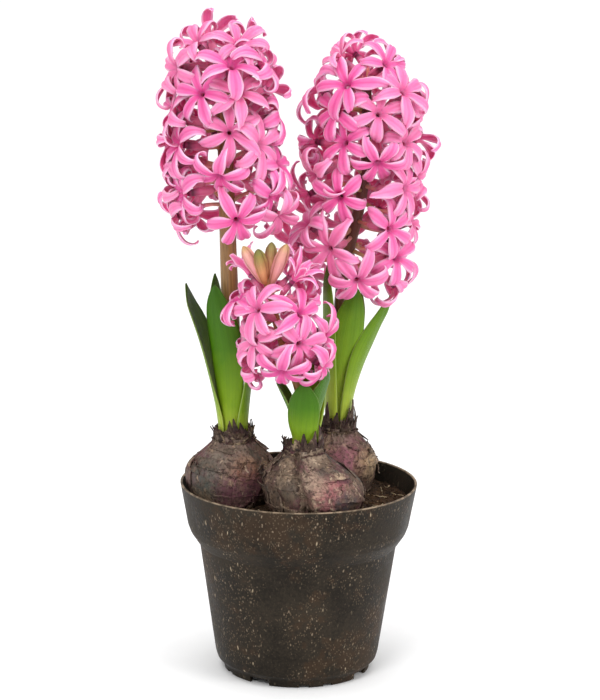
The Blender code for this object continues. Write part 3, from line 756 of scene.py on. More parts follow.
def bulb_flake(shape, middle, share, width, tall, lift, draw):
    """A loose patch of skin on the bulb, ragged at its edges and lifting at one corner."""
    rows, columns = 11, 15
    corner = (draw.choice((-1, 1)), draw.choice((-1, 1)))
    ragged = draw.uniform(0, 50)
    points = []
    for i in range(rows):
        for j in range(columns):
            v, u = 2 * i / (rows - 1) - 1, 2 * j / (columns - 1) - 1
            jag = 1.0 + 0.34 * noise.noise(Vector((u * 2.5 + ragged, v * 2.5, ragged)))
            jag += 0.16 * noise.noise(Vector((u * 8 + ragged, v * 8, ragged)))
            peel = max(0.0, (u * corner[0] + v * corner[1]) / 2 - 0.15) / 0.85
            angle = middle + (u * width / 2 + 0.08 * v * corner[0]) * jag
            spot = min(0.97, max(0.01, share + v * tall / 2 * jag))
            curl = 0.45 * max(abs(u), abs(v)) ** 5
            points.append(bulb_point(shape, spot, angle, (0.30 + curl + lift * peel ** 1.6) * MM))
    shell, faces, fields = thicken(points, grid_faces(rows, columns), SKIN_THICKNESS, {})
    fields["worn"] = draw.uniform(0.0, 1.0) ** 2
    return shell, faces, fields, 0


def torn_ring(shape, share, radius_shift, tall, teeth, flare, seed):
    """A ring of torn skin that stands up round the neck, with ragged teeth."""
    rows, columns = 7, 120
    points = []
    for i in range(rows):
        v = i / (rows - 1)
        for j in range(columns):
            angle = 2 * math.pi * j / columns
            base = bulb_point(shape, share, angle)
            out = Vector((math.cos(angle), math.sin(angle), 0.0))
            tooth = 0.5 + 0.5 * noise.noise(Vector((out.x * teeth, out.y * teeth, seed)))
            spike = abs(noise.noise(Vector((out.x * teeth * 3, out.y * teeth * 3, seed + 5))))
            top = tall * (0.25 + 0.8 * tooth + 0.9 * spike)
            wave = 0.5 * noise.noise(Vector((out.x * 7, out.y * 7, seed + v * 2)))
            points.append(base + out * ((radius_shift + flare * v * v + wave * v) * MM)
                          + Vector((0.0, 0.0, top * v * MM)))
    faces = grid_faces(rows, columns, closed=True, flip=True)
    return *thicken(points, faces, 0.25 * MM, {}), 0


# the few tongues that stand tallest: angle in degrees and height in mm
TALL_SHREDS = {"left": ((-97, 8.0), (-78, 9.0), (-60, 7.0), (20, 6.5)),
               "centre": ((-62, 8.5), (-90, 7.5), (-30, 11.0), (-10, 8.0)),
               "right": ((-48, 13.0), (-60, 9.0), (-128, 12.0), (-100, 7.0), (-10, 9.0))}


def shred(shape, angle, tall, wide, lean, drop, draw):
    """A torn tongue of dark skin that stands at the neck's rim."""
    rows, columns = 7, 5
    tip_turn, ragged = draw.uniform(-0.25, 0.25), draw.uniform(0, 90)
    points = []
    for i in range(rows):
        v = i / (rows - 1)
        for j in range(columns):
            u = 2.0 * j / (columns - 1) - 1.0
            half = wide / 2 * (1.0 - 0.85 * v ** 1.5) + 0.3 * noise.noise(Vector((u, v * 4, ragged)))
            turn = angle + (u * half + tip_turn * tall * v) * MM / shape["neck"]
            out = Vector((math.cos(turn), math.sin(turn), 0.0))
            crumple = 0.5 * noise.noise(Vector((u * 2, v * 3, ragged + 7)))
            points.append(shape["centre"] + shape["shift"] + out * (shape["neck"] + (
                          0.2 + lean * v * v + crumple) * MM)
                          + Vector((0.0, 0.0, shape["high"] + (tall * v - drop) * MM)))
    faces = grid_faces(rows, columns, flip=True)
    shell, faces, fields = thicken(points, faces, SKIN_THICKNESS, {})
    fields["worn"] = draw.uniform(0.0, 0.9)
    return shell, faces, fields, 0


for number, side in enumerate(BULBS):
    shape = bulb_shape(side)
    bulb_material = papery_material(side + "_bulb_skin", 60.0, 0.8, (0.135, 0.088, 0.064),
                                    (0.125, 0.036, 0.056), (0.072, 0.074, 0.062),
                                    (0.38, 0.27, 0.18), 0.8, STAINS[side])
    flake_material = papery_material(side + "_loose_skin", 90.0, 0.6, (0.230, 0.165, 0.120),
                                     (0.140, 0.055, 0.062), (0.110, 0.098, 0.082),
                                     (0.50, 0.38, 0.27), 0.8, STAINS[side])
    turns = [2 * math.pi * c / BULB_COLUMNS for c in range(BULB_COLUMNS)]
    points = []
    for row in range(BULB_ROWS + 1):
        share = min(0.9995, row / BULB_ROWS)
        points += [bulb_point(shape, share, a) for a in turns]
    socket = []
    inner = shape["neck"] - 1.8 * MM
    for radius, drop in ((0.01 * MM, SOCKET), (inner, SOCKET), (inner, 0.0)):
        socket += [shape["centre"] + shape["shift"] + Vector((radius * math.cos(a),
                   radius * math.sin(a), shape["high"] - drop)) for a in turns]
    faces = grid_faces(BULB_ROWS + 4, BULB_COLUMNS, closed=True)
    build_piece(side + "_bulb_body", [(socket + points, faces, {}, 0)], [bulb_material],
                [side + "_bulb"])

    draw = random.Random(40 + number)
    flakes = []
    for _ in range(FLAKES):
        share = draw.uniform(0.14, 0.85)
        flakes.append(bulb_flake(shape, draw.uniform(0, 2 * math.pi), share,
                                 draw.uniform(0.25, 1.1), draw.uniform(0.06, 0.26),
                                 draw.uniform(0.3, 2.4), draw))
    build_piece(side + "_bulb_flakes", flakes, [flake_material])
    rings = [torn_ring(shape, 0.15, 0.10, 1.5, 4.0, 0.5, 3.0 + number),
             torn_ring(shape, 0.08, -0.30, 1.7, 6.0, 0.4, 9.0 + number),
             torn_ring(shape, 0.02, -0.9, 2.0, 5.0, 0.2, 17.0 + number)]
    build_piece(side + "_bulb_collar", rings, [collar_material])
    shreds = []
    for _ in range(SHREDS):
        drop = draw.choice((1.5, 1.5, 3.0, 4.5))
        shreds.append(shred(shape, draw.uniform(0, 2 * math.pi), draw.uniform(1.5, 5.0) + drop * 0.3,
                            draw.uniform(1.5, 4.5), draw.uniform(-1.8, 1.8), drop, draw))
    for angle, tall in TALL_SHREDS[side]:
        shreds.append(shred(shape, math.radians(angle), tall, 4.0, -1.0, 1.5, draw))
    build_piece(side + "_bulb_shreds", shreds, [collar_material])


# ------------------------------------------------------------------ flower stalks
# One fleshy upright stalk from each bulb, faintly ribbed: olive brown on the left plant, orange
# brown on the centre one and dark red brown on the right one.
STALK_STEPS = 80
STALK_SIDES = 28
STALK_CUTS = 40
STALK_COLORS = {"left": ((0.290, 0.175, 0.045), (0.300, 0.145, 0.055)),
                "centre": ((0.360, 0.215, 0.050), (0.420, 0.160, 0.055)),
                "right": ((0.200, 0.110, 0.040), (0.130, 0.036, 0.026))}


def stalk_at(side, z):
    """Centre and radius of a stalk at height z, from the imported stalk's rings of points."""
    rings = STALK_RINGS[side]
    heights = [ring[0].z for ring in rings]
    place = Vector([float(np.interp(z, heights, [ring[0][i] for ring in rings]))
                     for i in range(3)])
    return place, float(np.interp(z, heights, [ring[1] for ring in rings]))


def stalk_rings(side):
    """Centre and radius of each ring of a packed stalk, sorted from its foot to its top."""
    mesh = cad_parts[side + "_scape"].data
    heights = [round(v.co.z, 6) for v in mesh.vertices]
    low, high = min(heights), max(heights)
    rings = []
    edges = [(Vector(mesh.vertices[a].co), Vector(mesh.vertices[b].co))
             for a, b in (edge.vertices for edge in mesh.edges)]
    for step in range(STALK_CUTS + 1):
        z = low + (high - low) * min(0.995, max(0.005, step / STALK_CUTS))
        cuts = [a.lerp(b, (z - a.z) / (b.z - a.z)) for a, b in edges if (a.z - z) * (b.z - z) < 0]
        lo = Vector([min(c[i] for c in cuts) for i in range(3)])
        hi = Vector([max(c[i] for c in cuts) for i in range(3)])
        middle = (lo + hi) / 2
        rings.append((Vector((middle.x, middle.y, z)), (hi.y - lo.y) / 2))
    return rings


STALK_RINGS = {side: stalk_rings(side) for side in BULBS}

# Fine lines: upright streaks that follow a strap or a stalk, from its own across and along fields.
lines_group, lines_in, lines_out = new_group(
    "fine_lines", {"Across": ("float", 0.0), "Along": ("float", 0.0), "Shift": ("float", 0.0),
                   "Count": ("float", 10.0), "Length": ("float", 1.0)}, {"Mask": "float"})
spot = add_node(lines_group, "ShaderNodeCombineXYZ", {
    "X": times(lines_group, lines_in.outputs["Across"], lines_in.outputs["Count"]),
    "Y": times(lines_group, lines_in.outputs["Along"], lines_in.outputs["Length"]),
    "Z": lines_in.outputs["Shift"]})
streak = add_node(lines_group, "ShaderNodeTexNoise", {"Vector": spot.outputs["Vector"],
                  "Scale": 1.0, "Detail": 3.0, "Roughness": 0.6})
lines_group.links.new(ease(lines_group, streak.outputs["Fac"], 0.32, 0.68),
                      lines_out.inputs["Mask"])


def fine_lines(tree, across, along, shift, count, length):
    """Mask of fine lines; count is how many lie side by side."""
    made = use_group(tree, lines_group, {"Across": across, "Along": along, "Shift": shift,
                                         "Count": count, "Length": length})
    return made.outputs["Mask"]


for number, side in enumerate(BULBS):
    low_color, high_color = STALK_COLORS[side]
    material, tree, shader = new_material(side + "_stalk_skin", roughness=0.42,
                                          subsurface_weight=0.08, subsurface_scale=0.002)
    shader.inputs["Subsurface Radius"].default_value = (1.0, 0.6, 0.3)
    along = field(tree, "along")
    streaks = fine_lines(tree, field(tree, "across"), along, number * 3.0, 14.0, 9.0)
    color = ramp(tree, along, ((0.0, (0.36, 0.40, 0.06)), (0.28, low_color), (0.75, high_color),
                               (1.0, high_color)))
    dots = ease(tree, cloud(tree, object_place(tree), 1400.0, 2.0), 0.60, 0.70)
    color = mix(tree, streaks, mix(tree, 1.0, color, (0.62, 0.58, 0.52), "MULTIPLY"), color)
    finish(tree, shader, veil(tree, dots, 0.35, color, (0.12, 0.06, 0.03)))
    bump(tree, shader, streaks, 0.35, 0.0003)
    foot, top = STALK_RINGS[side][0][0].z, STALK_RINGS[side][-1][0].z
    path = [stalk_at(side, foot + (top - foot) * i / STALK_STEPS) for i in range(STALK_STEPS + 1)]
    points, faces, share = sweep([p for p, _ in path], [r * 1.02 for _, r in path], STALK_SIDES)
    around = np.abs(np.tile(np.arange(STALK_SIDES) * 2 / STALK_SIDES - 1, STALK_STEPS + 1))
    build_piece(side + "_stalk", [(points, faces, {"along": share, "across": around}, 0)],
                [material], [side + "_scape"])


# ------------------------------------------------------------------ leaves
# Thick glossy strap leaves that sheathe the stalk at the neck and lean out above, channelled, with
# a blunt hooded tip: yellow green at the base, deep green above, with fine veins side by side.
LEAF_ROWS = 40
LEAF_COLUMNS = 12
CHANNEL = 13.5 * MM
# how far up its length a plant's leaf has greened: the lower the paler; the right plant's low value
# also paints light on its leaves, which lie in shade behind the centre plant
YELLOWING_AND_PAINTED_LIGHT = {"left": 1.04, "centre": 0.92, "right": 0.60}
# name: ring, azimuth at the base, azimuth it leans to, then reach, half width, sideways drift
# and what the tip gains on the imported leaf, in mm
LEAVES = {
    "left_leaf_inner_front": (0, -28, -20, 13.0, 10.6, -5.0, -3.0),
    "left_leaf_inner_back": (0, 196, 227, 15.0, 7.0, 0.0, 3.0),
    "left_leaf_outer_left": (1, -108, -112, 25.5, 9.4, 5.0, 0.0),
    "left_leaf_outer_right": (1, 84, 88, 14.0, 8.4, 0.0, 0.0),
    "centre_leaf_inner_left": (0, -100, -98, 17.5, 9.0, 0.0, -1.0),
    "centre_leaf_inner_right": (0, 58, 62, 13.5, 10.0, 0.0, 0.0),
    "centre_leaf_outer_front": (1, -24, -6, 14.0, 8.6, 0.0, 0.5),
    "centre_leaf_outer_back": (1, 150, 166, 26.5, 7.4, 0.0, 0.0),
    "right_leaf_inner_front": (0, -8, 8, 13.0, 10.0, 7.5, 5.0),
    "right_leaf_inner_back": (0, 188, 140, 17.0, 7.0, -3.0, 0.0),
    "right_leaf_outer_left": (1, -72, -60, 8.8, 6.2, 0.0, 12.0),
    "right_leaf_outer_right": (1, 80, 50, 19.0, 8.4, 20.0, 6.0),
}

leaf_material, tree, shader = new_material("leaf_skin", subsurface_weight=0.10,
                                           subsurface_scale=0.002, specular_ior_level=0.16)
shader.inputs["Subsurface Radius"].default_value = (0.7, 1.0, 0.2)
along, across, under = field(tree, "along"), field(tree, "across"), field(tree, "under")
tone = field(tree, "tone")
wander = times(tree, math_node(tree, "SUBTRACT", cloud(tree, object_place(tree), 45.0), 0.5), 0.25)
reach = math_node(tree, "ADD", along, wander)
# Outer skin: yellow green at the base, deep green above; the bright base stops are also painted light,
# raised to make up for the shade at the leaf bases under the racemes.
outer_skin_and_painted_light = ramp(tree, reach, ((0.0, (0.62, 0.70, 0.100)), (0.20, (0.50, 0.60, 0.040)),
                                (0.40, (0.155, 0.245, 0.006)), (0.70, (0.060, 0.118, 0.004)),
                                (1.0, (0.032, 0.072, 0.004))))
inner_skin = ramp(tree, reach, ((0.0, (0.50, 0.58, 0.07)), (0.3, (0.17, 0.29, 0.010)),
                                (0.62, (0.055, 0.155, 0.004)), (1.0, (0.034, 0.112, 0.004))))
color = mix(tree, under, inner_skin, outer_skin_and_painted_light)
veins = fine_lines(tree, across, along, tone, 34.0, 1.6)
broad_veins = fine_lines(tree, across, along, tone, 7.0, 0.8)
color = stronger(tree, veins, 0.30, color, (0.55, 0.62, 0.50))
color = stronger(tree, broad_veins, 0.35, color, (1.45, 1.35, 1.1))
# The pale band along the leaf's edges is painted light, standing in for light shining through the thin
# margin.
painted_edge_light = ease(tree, math_node(tree, "ABSOLUTE", across), 0.955, 1.0)
finish(tree, shader, veil(tree, painted_edge_light, 0.45, color, (0.36, 0.46, 0.16)),
       ease(tree, veins, 0.0, 1.0, 0.30, 0.42))
bump(tree, shader, veins, 0.35, 0.0003)


def leaf_half_width(s):
    """Share of the widest half width along a leaf: a strap, then a blunt point."""
    tip = max(0.0, 1.0 - ((s - 0.58) / 0.42) ** 2) ** 0.72 if s > 0.58 else 1.0
    return (0.90 + 0.10 * smooth(s / 0.6)) * tip


def build_leaf(node, number):
    """One strap leaf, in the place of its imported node."""
    side = node.split("_")[0]
    ring, base_azimuth, lean_azimuth, reach, widest, drift, gain = LEAVES[node]
    reach, widest, drift = reach * MM, widest * MM, drift * MM
    low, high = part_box(node)
    base_z, tip_z = low.z, high.z + gain * MM
    neck, stalk_radius = stalk_at(side, base_z)
    start = stalk_radius + 0.5 * MM + ring * (2.1 if side == "left" else 2.7) * MM
    sheath = (1.45 - 0.15 * ring) * start
    draw = random.Random(70 + number)
    sway, curl_side = draw.uniform(-1, 1), draw.choice((-1, 1))
    points, along, across, thickness = [], [], [], []
    for row in range(LEAF_ROWS + 1):
        s = row / LEAF_ROWS
        s = s if s < 0.7 else 0.7 + 0.3 * (1 - max(0.0, 1 - (s - 0.7) / 0.3) ** 1.6)
        s = min(s, 0.9985)
        azimuth = base_azimuth + (lean_azimuth - base_azimuth) * smooth(s / 0.7)
        out = direction(azimuth)
        side_way = Vector((-out.y, out.x, 0.0))
        rise = (tip_z - base_z) * s
        span = tip_z - base_z - SOCKET
        lean = max(0.0, (rise - SOCKET) / span)
        radius = start + (reach - start) * lean ** 1.35
        slope = 1.35 * (reach - start) * lean ** 0.35 / span
        inward = Vector((-out.x, -out.y, slope)).normalized()
        middle = (Vector((neck.x, neck.y, base_z)) + out * radius + Vector((0.0, 0.0, rise))
                  + side_way * (drift * lean ** 2 + sway * MM * smooth(lean) * math.sin(lean * 5)))
        middle += inward * (1.6 * MM * smooth((s - 0.86) / 0.14))      # hooded tip
        roll = start + (CHANNEL - start) * smooth(lean * 2.2)
        half = (sheath + (widest - sheath) * smooth(lean * 1.3)) * leaf_half_width(s)
        for column in range(LEAF_COLUMNS + 1):
            u = 2.0 * column / LEAF_COLUMNS - 1.0
            angle = u * half / roll
            wave = 0.35 * MM * noise.noise(Vector((u * 1.5, s * 5.0, number * 3.1))) * lean
            edge_curl = 0.5 * MM * abs(u) ** 4 * lean * (1.0 - smooth((s - 0.8) / 0.2))
            deep = roll * (1.0 - math.cos(angle)) + wave + edge_curl * curl_side * 0.4
            points.append(middle + side_way * (roll * math.sin(angle)) + inward * deep)
            along.append(s)
            across.append(u)
            thickness.append((1.25 + 0.35 * (1 - smooth(lean * 3)) - 0.65 * abs(u) ** 3
                              - 0.5 * smooth((s - 0.8) / 0.2)) * MM)
    faces = grid_faces(LEAF_ROWS + 1, LEAF_COLUMNS + 1, flip=True)
    shell, faces, fields = thicken(points, faces, thickness, {"along": along, "across": across})
    fields["along"] *= YELLOWING_AND_PAINTED_LIGHT[side]
    fields["tone"] = number * 1.7
    build_piece(node + "_blade", [(shell, faces, fields, 0)], [leaf_material], [node])


for number, node in enumerate(LEAVES):
    build_leaf(node, number)


# ------------------------------------------------------------------ florets
# Waxy pink florets on short pedicels, five to a whorl up each stalk.  Each is one tube that splits
# into six straps; they roll back hard, paler at the rims and darker along the middle.
PETALS = 6
PETAL_COLUMNS = 8
TUBE_ROWS = 7
PETAL_ROWS = 19
TUBE_LENGTH = 15.0 * MM
# inside radius of the tube in mm at shares of its length: a swollen foot and a narrow throat
TUBE_PROFILE = ((0.0, 0.6), (0.06, 1.5), (0.22, 2.3), (0.5, 2.15), (0.8, 1.75), (1.0, 1.45))
TUBE_WALL = 0.75 * MM
PETAL_LENGTH = 24.0 * MM
PETAL_HALF_WIDTH = 3.5 * MM
PETAL_THICKNESS = 1.05 * MM
CREST = 1.2 * MM           # how far the rolled petals stand out past the mouth

petal_material, tree, shader = new_material("petal_skin", subsurface_weight=0.35,
                                            subsurface_scale=0.0022, specular_ior_level=0.35,
                                            sheen_weight=0.05, sheen_roughness=0.4)
shader.inputs["Subsurface Radius"].default_value = (1.0, 0.30, 0.50)
along, across, under = field(tree, "along"), field(tree, "across"), field(tree, "under")
tone = field(tree, "tone")
share = times(tree, along, 1 / 3)
outside = ramp(tree, share, ((0.0, (0.34, 0.26, 0.07)), (0.20, (0.66, 0.30, 0.19)),
                             (0.36, (0.86, 0.20, 0.27)), (0.50, (0.84, 0.15, 0.31)),
                             (0.66, (0.76, 0.10, 0.30)), (0.85, (0.72, 0.09, 0.30)),
                             (1.0, (0.76, 0.22, 0.42))))
# Inside of the tube and petals: the near-black band at 0.60 to 0.65 is painted shade in the throat's
# recess, behind the anthers.
inside_and_throat_shade = ramp(tree, share, ((0.30, (0.80, 0.20, 0.33)), (0.52, (0.70, 0.12, 0.28)),
                                  (0.60, (0.08, 0.003, 0.03)), (0.650, (0.36, 0.02, 0.13)),
                                  (0.69, (0.62, 0.05, 0.25)), (0.75, (0.72, 0.10, 0.33)),
                                  (0.86, (0.76, 0.16, 0.39)), (1.0, (0.80, 0.27, 0.50))))
color = mix(tree, under, inside_and_throat_shade, outside)
petal_only = ease(tree, along, 2.04, 2.30)
off_middle = math_node(tree, "ABSOLUTE", across)
stripe = times(tree, ease(tree, off_middle, 0.34, 0.04), petal_only)
margin = times(tree, ease(tree, off_middle, 0.56, 0.97), petal_only)
streaks = fine_lines(tree, across, along, tone, 6.5, 1.4)
# Broad whitish-green streaks over the petals are a painted sheen, standing in for light off the waxy
# petals.
painted_sheen = fine_lines(tree, across, along, tone, 1.6, 1.1)
color = stronger(tree, painted_sheen, 0.40, color, (1.10, 1.75, 1.35))
color = stronger(tree, streaks, 0.40, color, (0.98, 0.55, 0.78))
color = veil(tree, stripe, 0.50, color, (0.62, 0.042, 0.24))
color = veil(tree, margin, 0.66, color, (0.95, 0.67, 0.83))
shade = math_node(tree, "FRACT", times(tree, tone, 7.31))
color = mix(tree, ease(tree, shade, 0.0, 1.0, 0.0, 0.32), color, (0.86, 0.34, 0.50))
cells = cloud(tree, object_place(tree), 2600.0, 2.0)
finish(tree, shader, color, ease(tree, cells, 0.3, 0.7, 0.36, 0.52))
bump(tree, shader, math_node(tree, "ADD", cells, streaks), 0.22, 0.00018)

anther_material, tree, shader = new_material("anther", roughness=0.6)
finish(tree, shader, mottled(tree, (0.012, 0.004, 0.012), (0.10, 0.03, 0.05), 500.0, 3000.0)[0])


def petal_half_width(u):
    """Share of the widest half width along a petal: a strap that narrows to a small round tip."""
    strap = 0.64 + 0.36 * smooth(u / 0.42)
    taper = 1.0 - 0.50 * smooth((u - 0.46) / 0.48)
    tip = math.sqrt(max(0.0, 1.0 - ((u - 0.88) / 0.12) ** 2)) if u > 0.88 else 1.0
    return strap * taper * tip


def petal_turn(u, first, spread, end):
    """Angle between the tube's axis and a petal, which opens quickly and then rolls back."""
    opened = first + (spread - first) * (1.0 - (1.0 - min(1.0, u / 0.38)) ** 2)
    return math.radians(opened + (end - spread) * max(0.0, (u - 0.28) / 0.72) ** 1.6)


def petal_section(x, u):
    """Height of a petal's cross-section: hollow near the throat, then grooved with edges turned
    back, then a small boat at the tip.  In half widths of the petal."""
    rolled = smooth((u - 0.08) / 0.25)
    edges = 0.22 * x * x * (1.0 - rolled) - 0.42 * np.abs(x) ** 3 * rolled
    boat = 0.90 * x * x * smooth((u - 0.80) / 0.20)
    groove = 0.20 * np.exp(-(x / 0.26) ** 2) * math.sin(math.pi * u) ** 0.5
    return edges + boat - groove


def floret_chunks(draw, size, curl, opening, spread, tone):
    """A floret along +Z with its mouth at the origin: the petalled tube and the anthers."""
    ring_columns = PETALS * PETAL_COLUMNS
    points, along, across, thickness = [], [], [], []
    tube_length = TUBE_LENGTH * size
    mouth = TUBE_PROFILE[-1][1] * MM * size
    turns = np.arange(ring_columns) * 2 * math.pi / ring_columns - math.pi / PETALS
    for row in range(TUBE_ROWS + 1):
        t = row / TUBE_ROWS
        radius = float(np.interp(t, [p[0] for p in TUBE_PROFILE],
                                 [p[1] for p in TUBE_PROFILE])) * MM * size
        wall = radius * (1.0 + 0.05 * np.cos(PETALS * turns) * math.sin(math.pi * min(1.0, t * 1.1)))
        points.append(np.stack([wall * np.cos(turns), wall * np.sin(turns),
                                np.full(ring_columns, -tube_length * (1 - t))], axis=1))
        along.append(np.full(ring_columns, 1.0 + t))
        across.append(np.abs((np.arange(ring_columns) % PETAL_COLUMNS) / (PETAL_COLUMNS / 2) - 1))
        thickness.append(np.full(ring_columns, TUBE_WALL * size))
    faces = grid_faces(TUBE_ROWS + 1, ring_columns, closed=True, flip=True)
    count = ring_columns * (TUBE_ROWS + 1)
    last_ring = TUBE_ROWS * ring_columns
    axis = np.array((0.0, 0.0, 1.0))
    x = np.arange(PETAL_COLUMNS + 1) / (PETAL_COLUMNS / 2) - 1.0
    for petal in range(PETALS):
        a = math.radians(360.0 * petal / PETALS + draw.uniform(-5, 5))
        out, tangent = np.array((math.cos(a), math.sin(a), 0)), np.array((-math.sin(a), math.cos(a), 0))
        length = PETAL_LENGTH * size * draw.uniform(0.92, 1.06)
        end = curl + draw.uniform(0, 120)
        first, wide_open = opening + draw.uniform(-5, 5), spread + draw.uniform(-16, 12)
        drift, twist = draw.uniform(-1, 1) * 4.5 * MM * size, draw.uniform(-1, 1) * 0.8
        inner = petal % 2
        wide = PETAL_HALF_WIDTH * size * (0.94 if inner else 1.06)
        reach, rise = mouth, 0.0
        base = count
        for row in range(1, PETAL_ROWS + 1):
            u = row / PETAL_ROWS
            middle_turn = petal_turn(u - 0.5 / PETAL_ROWS, first, wide_open, end)
            turn = petal_turn(u, first, wide_open, end)
            reach += math.sin(middle_turn) * length / PETAL_ROWS
            rise += math.cos(middle_turn) * length / PETAL_ROWS
            up = -math.cos(turn) * out + math.sin(turn) * axis
            spin = twist * smooth((u - 0.30) / 0.70)
            width_way = tangent * math.cos(spin) + up * math.sin(spin)
            normal = up * math.cos(spin) - tangent * math.sin(spin)
            strap = max(wide * petal_half_width(u), 0.2 * MM)
            sector = max(reach, mouth) * math.tan(math.pi / PETALS) * 1.02
            half = (strap ** -4 + sector ** -4) ** -0.25 if u < 0.5 else strap
            centre = (out * reach + axis * (rise + (0.35 * MM if inner else 0.0) * smooth(u * 4))
                      + tangent * (drift * u * u))
            points.append(centre + np.outer(x * half, width_way)
                          + np.outer(petal_section(x, u) * half, normal))
            along.append(np.full(len(x), 2.0 + u))
            across.append(x)
            thickness.append(PETAL_THICKNESS * size * (1.0 - 0.60 * np.abs(x) ** 2.5)
                             * (1.0 - 0.40 * u))
        count += PETAL_ROWS * len(x)
        for row in range(PETAL_ROWS):
            for column in range(PETAL_COLUMNS):
                if row == 0:
                    ring = petal * PETAL_COLUMNS
                    a0 = last_ring + (ring + column) % ring_columns
                    a1 = last_ring + (ring + column + 1) % ring_columns
                else:
                    a0 = base + (row - 1) * (PETAL_COLUMNS + 1) + column
                    a1 = a0 + 1
                b0 = base + row * (PETAL_COLUMNS + 1) + column
                faces.append((a0, b0, b0 + 1, a1))
    shell, faces, fields = thicken(np.concatenate(points), faces, np.concatenate(thickness), {
        "along": np.concatenate(along), "across": np.concatenate(across)})
    fields["tone"] = tone
    chunks = [(shell, faces, fields, 0)]
    for stamen in range(PETALS):
        a = math.radians(60.0 * stamen + 30.0)
        foot = Vector((math.cos(a), math.sin(a), 0.0)) * 0.95 * MM * size
        anther_points, anther_faces, _ = sweep(
            [foot + Vector((0, 0, z * MM * size)) for z in (-4.0, -3.6, -2.8, -2.0, -1.7)],
            [r * MM * size for r in (0.1, 0.34, 0.40, 0.30, 0.08)], 6)
        chunks.append((anther_points, anther_faces,
                       {"along": 1.9, "across": 0.0, "under": 0.0, "tone": tone}, 1))
    return chunks


def place_chunks(chunks, matrix):
    """Move chunks from the floret's own axes to the plant."""
    turn = np.array(matrix.to_3x3())
    shift = np.array(matrix.translation)
    return [(np.asarray(points) @ turn.T + shift, faces, fields, number)
            for points, faces, fields, number in chunks]


def pedicel(root, base, aim, tone, size):
    """The short curved stem from the stalk to the foot of a tube."""
    reach = (base - root).length
    path = []
    for i in range(7):
        t = i / 6
        first = root.lerp(root + (base - root).normalized() * reach * 0.5, t)
        last = (base - aim * reach * 0.4).lerp(base + aim * 0.6 * MM, t)
        path.append(first.lerp(last, t))
    points, faces, share = sweep(path, [(1.15 - 0.2 * math.sin(math.pi * i / 6)) * MM * size
                                           for i in range(7)], 9)
    return points, faces, {"along": share * 0.9, "across": 0.5, "under": 1.0, "tone": tone}, 0


def build_floret(name, side, foot_z, azimuth, pitch, mouth_radius, draw, size=1.0, curl=195.0,
                 opening=22.0, spread=92.0, replaced=(), swing=(0.0, 0.0)):
    """One floret on its stalk; swing turns its face sideways and up from its own spoke."""
    stalk, stalk_radius = stalk_at(side, foot_z)
    out, rise = direction(azimuth), math.radians(pitch)
    crest = mouth_radius - CREST * size * math.cos(rise)
    mouth = stalk + out * crest + Vector((0, 0, (crest - stalk_radius) * math.tan(rise)))
    face_azimuth, face_pitch = azimuth + swing[0], math.radians(pitch + swing[1])
    aim = direction(face_azimuth) * math.cos(face_pitch) + Vector((0, 0, math.sin(face_pitch)))
    tone = draw.uniform(0, 50)
    spin = Matrix.Rotation(math.radians(draw.uniform(0, 60)), 4, "Z")
    matrix = Matrix.Translation(mouth) @ aim.to_track_quat("Z", "Y").to_matrix().to_4x4() @ spin
    chunks = place_chunks(floret_chunks(draw, size, curl, opening, spread, tone), matrix)
    base = mouth - aim * TUBE_LENGTH * size
    root = stalk + out * (stalk_radius - 0.6 * MM)
    root.z += (base.z - root.z) * 0.35
    chunks.append(pedicel(root, base, aim, tone, size))
    return build_piece(name, chunks, [petal_material, anther_material], replaced)


# side: tiers, height of the lowest mouths, tier spacing, mouth radius, turn of the first tier,
# pitch of the lowest and of the highest tier, florets in the crown
RACEMES = {"left": (7, 235.0, 12.4, 26.2, 12.0, -12.0, 30.0, 4),
           "centre": (3, 167.0, 14.7, 20.5, -14.0, -10.0, 25.0, 0),
           "right": (8, 200.0, 13.4, 27.5, 11.0, -12.0, 26.0, 4)}
TIER_FLORETS = 5
TIER_TURN = 36.0
# Florets that face the front, set one by one: raise in mm, shift round the stalk, face turn and
# lift, end angle and spread of the petals, in degrees.
POSED = {
    ("left", 1, 1): (1, 0, 5, -8, 210, 95), ("left", 1, 5): (0, -14, -14, -10, 205, 92),
    ("left", 2, 5): (0, -26, -20, 0, 225, 92), ("left", 2, 1): (0, 8, 10, -15, 275, 100),
    ("left", 3, 5): (0, -17, -15, -45, 235, 85), ("left", 3, 4): (0, -25, -10, 0, 300, 95),
    ("left", 4, 5): (0, -8, 15, -5, 190, 90), ("left", 4, 4): (0, -31, -15, 0, 210, 90),
    ("left", 5, 4): (-5, -5, 0, 0, 190, 92), ("left", 5, 3): (0, -16, -10, 0, 215, 92),
    ("left", 5, 5): (0, 0, 5, 0, 255, 95), ("left", 6, 3): (0, 0, -8, 0, 185, 92),
    ("left", 6, 4): (0, -30, -5, 10, 205, 90), ("left", 7, 3): (0, 0, 0, 20, 190, 85),
    ("left", 7, 4): (0, -30, 40, 0, 215, 90),
    ("right", 1, 1): (2, 0, 0, -14, 215, 88), ("right", 1, 2): (-5, 0, 0, -30, 205, 90),
    ("right", 2, 5): (3, 0, -8, 0, 180, 88), ("right", 3, 5): (0, 25, 6, 0, 205, 90),
    ("right", 4, 4): (4, 0, 6, -6, 215, 94), ("right", 4, 5): (7, 0, 10, 4, 190, 92),
    ("right", 5, 4): (8, 0, -4, -50, 235, 84), ("right", 6, 3): (2, 0, -10, 0, 200, 92),
    ("right", 7, 3): (3, 0, 0, 6, 195, 90), ("right", 7, 2): (4, 25, -10, 0, 260, 98),
    ("right", 8, 2): (4, 0, 0, 10, 190, 86),
    ("centre", 1, 1): (0, 8, -6, -38, 240, 90), ("centre", 1, 2): (1, 0, 10, -18, 245, 94),
    ("centre", 1, 5): (-1, 12, -20, -12, 265, 95), ("centre", 2, 1): (-2, 2, 8, -10, 215, 92),
    ("centre", 2, 5): (-1, 12, -6, -4, 205, 92), ("centre", 3, 1): (-4, -22, 8, 4, 200, 90),
    ("centre", 3, 5): (-1, -14, -12, 4, 190, 90),
}

